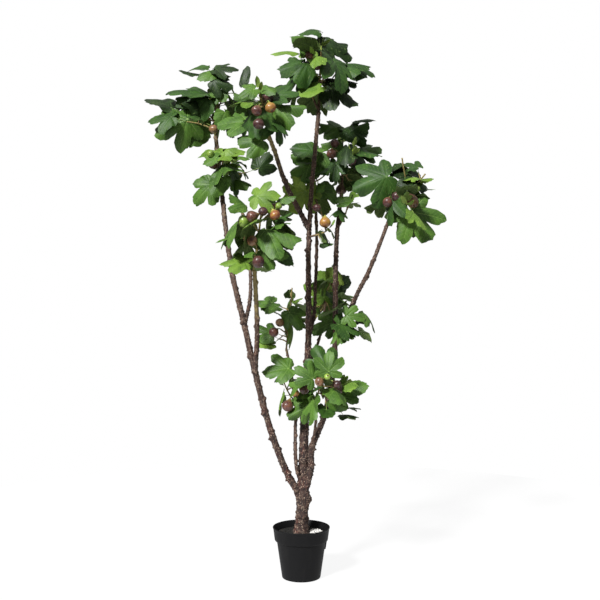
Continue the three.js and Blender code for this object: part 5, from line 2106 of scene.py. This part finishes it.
@dataclass
class Bark:
    """The trunk, boughs and twigs as meshes with the bark's relief. Sizes in millimetres.

    The burl at the trunk's foot is given by how proud it stands, its height above the floor, how far that
    differs from side to side, and how tall it is.
    """

    ring_step: float = 3.0
    least_rings: int = 12
    side_step: float = 3.2
    least_sides: int = 14
    twig_ring_step: float = 4.0
    least_twig_rings: int = 8
    twig_sides: int = 12
    twig_node_spacing: float = 17.0
    twig_node_swell: float = 0.20
    knob_spacing: float = 40.0
    knob_height: float = 9.5
    knob_length: float = 6.0
    knob_pit: float = 1.5
    full_knobs_from: float = 11.0
    stouter: float = 0.8
    wart: float = 3.4
    node_spacing: float = 38.0
    node_height: float = 0.55
    node_width: float = 1.8
    flare_spread: float = 9.0
    flare_height: float = 16.0
    soil: float = 158.0
    collar: float = 0.3
    collar_length: float = 16.0
    burl: tuple[float, float, float, float] = (12.0, 293.0, 12.0, 21.0)
    seed_step: float = 7.3

    NUMBERS = ("youth", "pits", "bumps")

    def knobs(self, limb: Limb, at: float, angles: Array) -> Array:
        """Old leaf scars and pruned stubs, round the limb by the golden angle.

        Args:
            limb: The limb.
            at: The fraction of its run.
            angles: Angles round it.

        Returns:
            Their height in millimetres.
        """
        count = max(2, round(limb.length / self.knob_spacing))
        height = np.zeros(len(angles))
        for i in range(1, count):
            own = 0.2 + 0.8 * math.sin(i * 2.3 + limb.base) ** 2
            away = (at - (i + 0.3 * math.sin(i * 5.1)) / count) * limb.length / self.knob_length
            if abs(away) > 3:
                continue
            facing = np.clip(np.cos(angles - i * GOLDEN_ANGLE), 0, 1)
            swell = facing**3 * math.exp(-away * away)
            pit = facing**40 * math.exp(-(away * 2.2) ** 2)
            height += self.knob_height * own * swell - self.knob_pit * pit
        return height * min(1.0, limb.radius(at) / self.full_knobs_from)

    def rings_of(self, run: float, radius: float, seed: float) -> float:
        """Raised rings where leaves once sat.

        Args:
            run: Distance along the limb.
            radius: Its radius there.
            seed: A number of its own for each limb.

        Returns:
            Their height in millimetres.
        """
        spacing = self.node_spacing * (0.6 + radius / 14)
        place = run / spacing + 0.35 * math.sin(run / 61 + seed)
        away = (place - round(place)) * spacing
        ring = self.node_height * math.exp(-(away / self.node_width) ** 2)
        return ring + 0.22 * math.exp(-((away - 4) / 1.2) ** 2)

    @staticmethod
    def grain(run: float, angles: Array, radius: float, seed: float) -> tuple[Array, Array, Array]:
        """Furrows along the limb, the pits between them and small warts.

        Args:
            run: Distance along the limb, in millimetres.
            angles: Angles round it.
            radius: Its radius there.
            seed: A number of its own for each limb.

        Returns:
            Relief from about -1 to 1, how deep in a furrow each point lies, which darkens the bark's colour
            as painted shade, and its warts from 0 to 1.
        """
        relief, wart = np.empty(len(angles)), np.empty(len(angles))
        for i, angle in enumerate(angles):
            x, y = math.cos(angle) * radius, math.sin(angle) * radius
            furrow = 1 - abs(noise.noise(Vector((x / 5.5, y / 5.5, run / 42 + seed)))) * 3.2
            lump = noise.noise(Vector((x / 13 + seed, y / 13, run / 26)))
            fleck = noise.noise(Vector((x / 2.6, y / 2.6, run / 4.2 + seed)))
            wart[i] = max(noise.noise(Vector((x / 6 + 9, y / 6 + seed, run / 7.5))) - 0.18, 0.0) * 2.6
            relief[i] = -0.55 * max(furrow, 0.0) + 0.7 * lump + 0.35 * fleck
        return relief, np.clip(-relief * 1.3, 0, 1), np.clip(wart, 0, 1)

    def limb(self, name: str, skin: bpy.types.Material, seed: float) -> None:
        """Makes one limb with its relief, as a piece.

        Args:
            name: The limb's node.
            skin: The bark.
            seed: A number of its own.
        """
        limb = LIMBS[name]
        rings = max(self.least_rings, round(limb.length / self.ring_step))
        sides = max(self.least_sides, round(FULL_TURN * limb.base / self.side_step))
        numbers: dict[str, list[Array]] = {key: [] for key in self.NUMBERS}

        def radius(at: float, angles: Array) -> Array:
            """The limb's radius with all relief. What the finish needs of it goes into the numbers.

            Args:
                at: A fraction of its run.
                angles: Angles round it.

            Returns:
                The radius at each angle.
            """
            run, bare = at * limb.length, limb.radius(at)
            relief, pits, warts = self.grain(run, angles, bare, seed)
            age = limb.youth[0] + (limb.youth[1] - limb.youth[0]) * at
            for key, values in zip(self.NUMBERS, (np.full(sides, age), pits, warts)):
                numbers[key].append(values)
            rough = (0.35 + 0.08 * bare) * (1 - 0.4 * age)
            r = bare + self.stouter + self.knobs(limb, at, angles) + relief * rough
            r = r + self.rings_of(run, bare, seed) + warts * self.wart * (1 - 0.5 * age)
            if limb.parent is not None:
                beyond = max(0.0, run - LIMBS[limb.parent].base * 0.8)
                return r + self.collar * limb.base * math.exp(-beyond / self.collar_length)
            z = limb.curve.point(at)[2]
            ribs = 1 + 0.22 * np.cos(3 * angles + 0.6) + 0.12 * np.cos(7 * angles + 2)
            r = r + self.flare_spread * ribs * math.exp(-max(0.0, z - self.soil) / self.flare_height)
            proud, middle, askew, tall = self.burl
            away = (z - middle + askew * np.cos(angles)) / tall
            return r + proud * (0.1 + 0.9 * np.cos(angles) ** 2) * np.exp(-away**2)

        points, faces = swept(limb.curve, rings, sides, radius)
        ends = {"youth": limb.youth}
        pile = Joined(f"bark_{name}", [skin], self.NUMBERS)
        pile.add(points, faces, **{
            key: np.concatenate([*values, ends.get(key, (0.0, 0.0))]) for key, values in numbers.items()
        })
        pile.piece([name])

    def add_twig(self, pile: Joined, twig: Twig) -> None:
        """Adds one lead, shoot or short twig.

        Args:
            pile: The mesh that takes it.
            twig: The twig.
        """
        length = twig.curve.length()
        rings = max(self.least_twig_rings, round(length / self.twig_ring_step))
        count = max(2, round(length / self.twig_node_spacing))

        def radius(at: float, angles: Array) -> Array:
            """The twig's radius, with a ring at each node.

            Args:
                at: A fraction of its run.
                angles: Angles round it.

            Returns:
                The radius at each angle.
            """
            away = (at * count - round(at * count)) / count * length
            swell = 1 + self.twig_node_swell * math.exp(-(away / 1.6) ** 2)
            return twig.radius(at) * (swell + 0.05 * np.cos(3 * angles + at * 19))

        points, faces = swept(twig.curve, rings, self.twig_sides, radius)
        share = np.concatenate([np.repeat(np.arange(rings + 1) / rings, self.twig_sides), [0, 1]])
        pile.add(points, faces, youth=twig.youth[0] + (twig.youth[1] - twig.youth[0]) * share)

    def build(self, crown: Crown) -> None:
        """Makes every limb, and all twigs as one piece.

        Args:
            crown: What has grown.
        """
        skin = BarkFinish().material()
        for i, name in enumerate(LIMBS):
            self.limb(name, skin, self.seed_step * i)
        pile = Joined("twigs", [skin], self.NUMBERS)
        for growth in crown.grown:
            for twig in growth.twigs:
                self.add_twig(pile, twig)
        pile.piece(list(MASSES))


# ---- figs and buds


@dataclass
class Fruit:
    """Every fig and every tip bud. The profile gives heights and widths in radii, from neck to eye."""

    sides: int = 28
    plump: float = 1.12
    length: float = 1.32
    stalk: float = 2.0
    profile: tuple[Pair, ...] = (
        (-1.22, 0.14), (-1.1, 0.21), (-0.95, 0.32), (-0.78, 0.48), (-0.58, 0.68), (-0.35, 0.86), (-0.1, 0.97),
        (0.14, 1.0), (0.38, 0.95), (0.58, 0.83), (0.74, 0.66), (0.85, 0.46), (0.915, 0.27), (0.93, 0.17),
        (0.955, 0.13), (0.925, 0.07), (0.89, 0.0),
    )
    eye_from: int = 12
    ribs: int = 9
    rib_depth: float = 0.022
    uneven: float = 0.03
    bud_radius: float = 2.5

    STALK_SKIN = 0
    EYE_SKIN = 1
    FIRST_SKIN = 2
    NECK = 1.22
    EYE = 1.3
    USUAL_SKINS = (6, 4, 1.5, 0.5, 1)

    def add_fig(self, pile: Joined, fig: Fig, skin: int, chance: Chance) -> None:
        """Adds one fig, and its stalk from inside the twig.

        Args:
            pile: The mesh that takes it.
            fig: The fig.
            skin: The place of its finish.
            chance: Random numbers.
        """
        is_settled = fig.axis is not None
        along = fig.axis if is_settled else unit(fig.centre - fig.root)
        radius = fig.radius if is_settled else fig.radius * self.plump
        side = unit(np.cross(along, UP if abs(along[2]) < 0.9 else vec(1, 0, 0)))
        cross = np.cross(along, side)
        neck = fig.centre - along * radius * self.length
        reach = float(np.linalg.norm(neck - fig.root))
        pile.add(*swept(
            Arc(fig.root, neck - along * reach * 0.45, neck + along * radius * 0.06), 8, 8,
            lambda at, _: self.stalk * (0.9 + 0.35 * math.exp(-at * 8) + 0.2 * at**4),
        ), self.STALK_SKIN)
        angles = np.arange(self.sides) * FULL_TURN / self.sides
        wobble = chance.between((0.0, FULL_TURN))
        flat = chance.between((0.95, 1.05))
        ridge = np.cos(angles * self.ribs + wobble)
        points, up, rib = [], [], []
        for place, wide in self.profile:
            place *= self.length / (self.NECK if place < 0 else self.EYE)
            body = math.sin(math.pi * min(max((place + 1.1) / 2.05, 0), 1))
            lean = self.uneven * body * np.cos(angles * 2 + wobble)
            r = (wide * radius * (1 + self.rib_depth * body * ridge + lean))[:, None]
            ring = r * (np.cos(angles)[:, None] * side * flat + np.sin(angles)[:, None] * cross)
            points.append(fig.centre + along * place * radius + ring)
            up.append(np.full(self.sides, (place + self.NECK) / 2.2))
            rib.append(np.clip(ridge, 0, 1) * body)
        bands = np.arange(len(self.profile) - 1)
        finish = np.where(bands >= self.eye_from, self.EYE_SKIN, skin)
        pile.add(
            np.vstack(points) * MM, ring_faces(len(self.profile), self.sides), np.repeat(finish, self.sides),
            fig_up=np.concatenate(up), fig_rib=np.concatenate(rib),
        )

    def add_bud(self, pile: Joined, at: Array, along: Array, length: float) -> None:
        """Adds a pointed bud.

        Args:
            pile: The mesh that takes it.
            at: Its foot.
            along: Its direction.
            length: Its length in millimetres.
        """
        bend = vec(along[1], -along[0], 0) * 0.12
        pile.add(*swept(
            Arc(at - along * 1.5, at + (along + bend) * length * 0.5, at + along * length), 12, 12,
            lambda s, a: self.bud_radius * (1 - s) ** 0.65 * (1 + 0.25 * math.sin(math.pi * min(s * 1.6, 1)))
            * (1 + 0.06 * np.cos(2 * a + s * 6)) + 0.15,
        ))

    def build(self, crown: Crown) -> None:
        """Makes the pieces of figs and buds.

        Args:
            crown: What has grown.
        """
        finishes = [finish.material() for finish in (PETIOLE_SKIN, OSTIOLE, *FIG_SKINS)]
        figs = Joined("figs", finishes, ("fig_up", "fig_rib"))
        buds = Joined("tip_buds", [BUD_SKIN.material()])
        for growth in crown.grown:
            for i, fig in enumerate(growth.figs):
                chance = Chance(growth.mass.seed * 31 + i * 613)
                skin = fig.skin if fig.skin >= 0 else chance.pick(self.USUAL_SKINS)
                self.add_fig(figs, fig, skin + self.FIRST_SKIN, chance)
            for at, along, length in growth.buds:
                self.add_bud(buds, at, along, length)
        figs.piece([name for name, growth in zip(MASSES, crown.grown) if growth.figs])
        buds.piece(list(MASSES))


FIG_SKINS = (
    FigSkin("fig_purple", (0.085, 0.030, 0.028), (0.036, 0.012, 0.017), (0.17, 0.11, 0.04)),
    FigSkin("fig_red_brown", (0.17, 0.062, 0.042), (0.075, 0.024, 0.024), (0.26, 0.17, 0.055)),
    FigSkin("fig_tan", (0.26, 0.135, 0.058), (0.13, 0.052, 0.034), (0.32, 0.28, 0.08)),
    FigSkin("fig_amber", (0.42, 0.225, 0.045), (0.25, 0.070, 0.030), (0.42, 0.42, 0.085)),
    FigSkin("fig_green", (0.27, 0.40, 0.058), (0.18, 0.29, 0.045), (0.22, 0.36, 0.06)),
)


# ---- pot


@dataclass
class Pot:
    """The turned pot with its rim band and stacking lugs, its inside running down under the filling. Sizes in
    millimetres.
    """

    rim_radius: float = 102.6
    rim_top: float = 181.0
    lip: float = 3.5
    band_foot: float = 133.0
    band_foot_radius: float = 95.5
    shoulder: float = 88.4
    foot: float = 69.0
    wall: float = 3.0
    filling_top: float = 158.0
    sides: int = 144
    lug_turns: Pair = (0.0, 120.0)
    lug_size: Triple = (9.0, 4.0, 34.0)

    def wall_radius(self, z: float) -> float:
        """The outside radius of the body at a height."""
        return self.foot + (self.shoulder - self.foot) * z / self.band_foot

    def profile(self) -> list[Pair]:
        """The pot's section, up the outside and down the inside.

        Returns:
            Radii and heights.
        """
        band_foot, rim, lip = self.band_foot, self.rim_top - self.lip, self.rim_radius - self.lip
        lean = (self.rim_radius - 1.2 - self.band_foot_radius) / (rim - band_foot)
        shoulder = self.wall_radius(band_foot)
        sole = (
            (-self.foot, 3.5), (-12, 3.5), (-9, 2.4), (-8, 0.4), (-6.5, 0), (-2.2, 0), (-0.8, 0.5),
            (-0.1, 1.6),
        )
        band = np.linspace(band_foot + 3.4, rim - 2.6, 8)
        return [
            *((self.foot + x, z) for x, z in sole),
            *((self.wall_radius(z), z) for z in np.linspace(3, band_foot - 2.5, 16)),
            (shoulder + 0.1, band_foot - 1.0), (shoulder + 1.2, band_foot + 0.1),
            *((self.band_foot_radius + x, band_foot + z) for x, z in ((-1.8, 0.6), (-0.6, 1.1), (0, 2.1))),
            *((self.band_foot_radius + lean * (z - band_foot), z) for z in band),
            *((self.rim_radius + x, rim + z) for x, z in ((-0.9, -1.2), (-0.3, -0.5), (0, 0.3))),
            *((self.rim_radius + x, self.rim_top + z) for x, z in ((0, -1.2), (-0.4, -0.35), (-1.2, 0))),
            *((lip + x, self.rim_top + z) for x, z in ((0.9, 0), (0, -0.5), (-0.4, -1.6))),
            *((self.wall_radius(z) - self.wall, z) for z in np.linspace(self.filling_top + 4, 120, 6)),
        ]

    def lug(self, turn: float) -> tuple[Array, Array]:
        """A stacking lug under the rim band.

        Args:
            turn: Its place round the pot.

        Returns:
            Points in metres and faces.
        """
        wide, proud, tall = self.lug_size
        edges = [(-0.5, 0.0), (-0.5, 0.72), (-0.36, 1.0), (0.36, 1.0), (0.5, 0.72), (0.5, 0.0)]
        top, count = self.band_foot + 1, len(edges)
        rows = []
        for z, out in ((top, 1.0), (top - tall + 2, 1.0), (top - tall, 0.6)):
            base = self.wall_radius(z) - 1.5
            rows.append([(base + (proud + 1.5) * out * o, wide * w, z) for w, o in edges])
        points = np.array(rows).reshape(-1, 3) @ turn_round_z(turn)
        first, last = 2 * count, 3 * count - 1
        cap = np.array([[first + k, first + k + 1, last - k - 1, last - k] for k in (0, 1)])
        return points * MM, np.vstack([ring_faces(3, count)[:, ::-1], cap])

    def build(self) -> None:
        """Makes the pot."""
        pile = Joined("pot_shell", [PotPlastic().material()])
        points, faces = turned(self.profile(), self.sides)
        pile.add(points * MM, faces)
        for turn in self.lug_turns:
            pile.add(*self.lug(math.radians(turn)))
        pile.piece(["pot"])


@dataclass
class Filling:
    """The dark filling: a lumpy bed, loose crumbs and a few pale flakes. Sizes in millimetres."""

    top: float = 158.0
    radius: float = 87.6
    rings: int = 26
    sides: int = 96
    crumbs: int = 620
    crumb_size: Pair = (2.2, 6.5)
    flakes: int = 80
    flake_from: Triple = (50, 12, 32)
    crumb_skins: Pair = (5, 2)

    FLAKE_SKIN = 2
    LUMP_SIDES = 7
    LUMP_ROWS = ((-1.0, 0.35), (-0.45, 0.9), (0.35, 1.0), (0.95, 0.4))

    def bed(self) -> tuple[Array, Array]:
        """The lumpy top of the filling, closed down to the pot's wall.

        Returns:
            Points in metres and faces.
        """
        angles = np.arange(self.sides) * FULL_TURN / self.sides
        points = []
        for r in [*np.linspace(0, self.radius, self.rings), self.radius]:
            x, y = np.cos(angles) * r, np.sin(angles) * r
            lumps = [
                noise.noise(Vector((a / 9, b / 9, 0.5))) * 2.4 + noise.noise(Vector((a / 3, b / 3, 4)))
                for a, b in zip(x, y)
            ]
            points.append(np.stack([x, y, self.top + np.array(lumps) * min(1, (self.radius - r) / 8)], -1))
        points[-1][:, 2] = self.top - 30
        return np.vstack(points) * MM, ring_faces(self.rings + 1, self.sides)[:, ::-1]

    def lump(self, at: Array, size: Array, chance: Chance) -> tuple[Array, Array]:
        """A crumb or flake of an uneven seven-sided form.

        Args:
            at: Its middle.
            size: Its half sizes.
            chance: Random numbers.

        Returns:
            Points in metres and faces.
        """
        turn, tilt = chance.between((0, FULL_TURN)), chance.between((-0.6, 0.6))
        count, points = self.LUMP_SIDES, []
        for z, r in self.LUMP_ROWS:
            for k in range(count):
                a, wide = k * FULL_TURN / count, r * chance.between((0.7, 1.1))
                points.append((math.cos(a) * wide, math.sin(a) * wide, z * chance.between((0.8, 1.1))))
        points = np.array([*points, (0, 0, -1.1), (0, 0, 1.1)]) * size
        c, s = math.cos(tilt), math.sin(tilt)
        lean = np.array([[c, 0, s], [0, 1, 0], [-s, 0, c]])
        rows, ring = len(self.LUMP_ROWS), np.arange(count)
        total = rows * count
        faces = np.vstack([
            ring_faces(rows, count), fan(total, ring, False), fan(total + 1, ring + total - count, True),
        ])
        return (points @ lean @ turn_round_z(turn) + at) * MM, faces

    def build(self) -> None:
        """Makes the bed with its crumbs and flakes."""
        finishes = [
            CrumbFinish("filling_dark", (0.006, 0.006, 0.005), (0.012, 0.010, 0.008)).material(),
            CrumbFinish("filling_brown", (0.019, 0.014, 0.010), (0.010, 0.008, 0.006)).material(),
            CrumbFinish("filling_flake", (0.82, 0.81, 0.78), (0.66, 0.64, 0.60)).material(),
        ]
        pile = Joined("filling_bed", finishes)
        pile.add(*self.bed())
        chance = Chance(4021)
        for _ in range(self.crumbs):
            r = self.radius * 0.95 * math.sqrt(chance.next())
            a, size = chance.between((0, FULL_TURN)), chance.between(self.crumb_size)
            at = vec(math.cos(a) * r, math.sin(a) * r, self.top + size * 0.15)
            half = vec(size, size * chance.between((0.6, 1)), size * chance.between((0.35, 0.7))) / 2
            pile.add(*self.lump(at, half, chance), chance.pick(self.crumb_skins))
        x, y, spread = self.flake_from
        for _ in range(self.flakes):
            r, a = spread * math.sqrt(chance.next()), chance.between((0, FULL_TURN))
            at = vec(x + math.cos(a) * r * 0.75, y + math.sin(a) * r, self.top + 2.5)
            half = vec(chance.between((3, 7.5)), chance.between((2, 5)), chance.between((0.6, 2.0)))
            if math.hypot(at[0], at[1]) < self.radius - 6:
                pile.add(*self.lump(at, half, chance), self.FLAKE_SKIN)
        pile.piece(["pot_filling"])


# ---- studio


@dataclass
class Studio:
    """A pale floor, soft light and the camera. Lengths in metres."""

    focal: float = 53.33
    sensor: float = 36.0
    eye: Triple = (-0.0047, -3.2, 0.996)
    floor_radius: float = 2.2
    floor_sides: int = 48
    backdrop: float = 1.0
    fill: Pair = (0.05, 0.44)
    key: float = 5.0
    key_turn: Pair = (52.0, -32.0)
    key_softness: float = 9.0

    def floor(self) -> None:
        """A wide level floor under the pot."""
        mesh = bpy.data.meshes.new("floor")
        angles = [i * FULL_TURN / self.floor_sides for i in range(self.floor_sides)]
        ring = [(self.floor_radius * math.cos(a), self.floor_radius * math.sin(a), 0) for a in angles]
        mesh.from_pydata(ring, [], [list(range(self.floor_sides))])
        mesh.materials.append(FloorFinish().material())
        body = bpy.data.objects.new("floor", mesh)
        bpy.context.scene.collection.objects.link(body)

    def light(self) -> None:
        """A white backdrop, dim light from above and a soft sun from the upper left in front."""
        s = Shader("studio", world=True)
        height = Value(s, s.node("ShaderNodeSeparateXYZ", {}, {0: s.place()}).outputs["Z"])
        low, high = self.fill
        strength = height.rises(-0.2, 0.6) * (high - low) + low
        fill = s.node("ShaderNodeBackground", {}, {"Strength": strength, "Color": (1, 1, 1, 1)})
        backdrop = s.node("ShaderNodeBackground", {}, {"Strength": self.backdrop, "Color": (1, 1, 1, 1)})
        seen = s.node("ShaderNodeLightPath", {}, {}).outputs["Is Camera Ray"]
        both = s.node("ShaderNodeMixShader", {}, {0: seen, 1: fill.outputs[0], 2: backdrop.outputs[0]})
        s.node("ShaderNodeOutputWorld", {}, {"Surface": both.outputs[0]})
        bpy.context.scene.world = s.owner
        sun = bpy.data.lights.new("key", "SUN")
        sun.energy, sun.angle = self.key, math.radians(self.key_softness)
        body = bpy.data.objects.new("key", sun)
        body.rotation_euler = (math.radians(self.key_turn[0]), 0, math.radians(self.key_turn[1]))
        bpy.context.scene.collection.objects.link(body)

    def camera(self) -> None:
        """A level camera before the tree."""
        lens = bpy.data.cameras.new("camera")
        lens.lens, lens.sensor_width = self.focal, self.sensor
        body = bpy.data.objects.new("camera", lens)
        body.location = self.eye
        body.rotation_euler = (math.pi / 2, 0, 0)
        bpy.context.scene.collection.objects.link(body)
        bpy.context.scene.camera = body

    def build(self) -> None:
        """Sets up floor, light, camera and plain tone mapping."""
        self.floor()
        self.light()
        self.camera()
        bpy.context.scene.view_settings.view_transform = "Standard"


def main() -> None:
    """Builds the tree, its pot and the studio."""
    logging.basicConfig(level=logging.INFO, format="%(message)s")
    Studio().build()
    Pot().build()
    Filling().build()
    crown = Crown()
    leaves = sum(len(growth.leaves) for growth in crown.grown)
    figs = sum(len(growth.figs) for growth in crown.grown)
    LOG.info("leaves %d, figs %d", leaves, figs)
    Bark().build(crown)
    Foliage().build(crown)
    Fruit().build(crown)


if __name__ == "__main__":
    main()
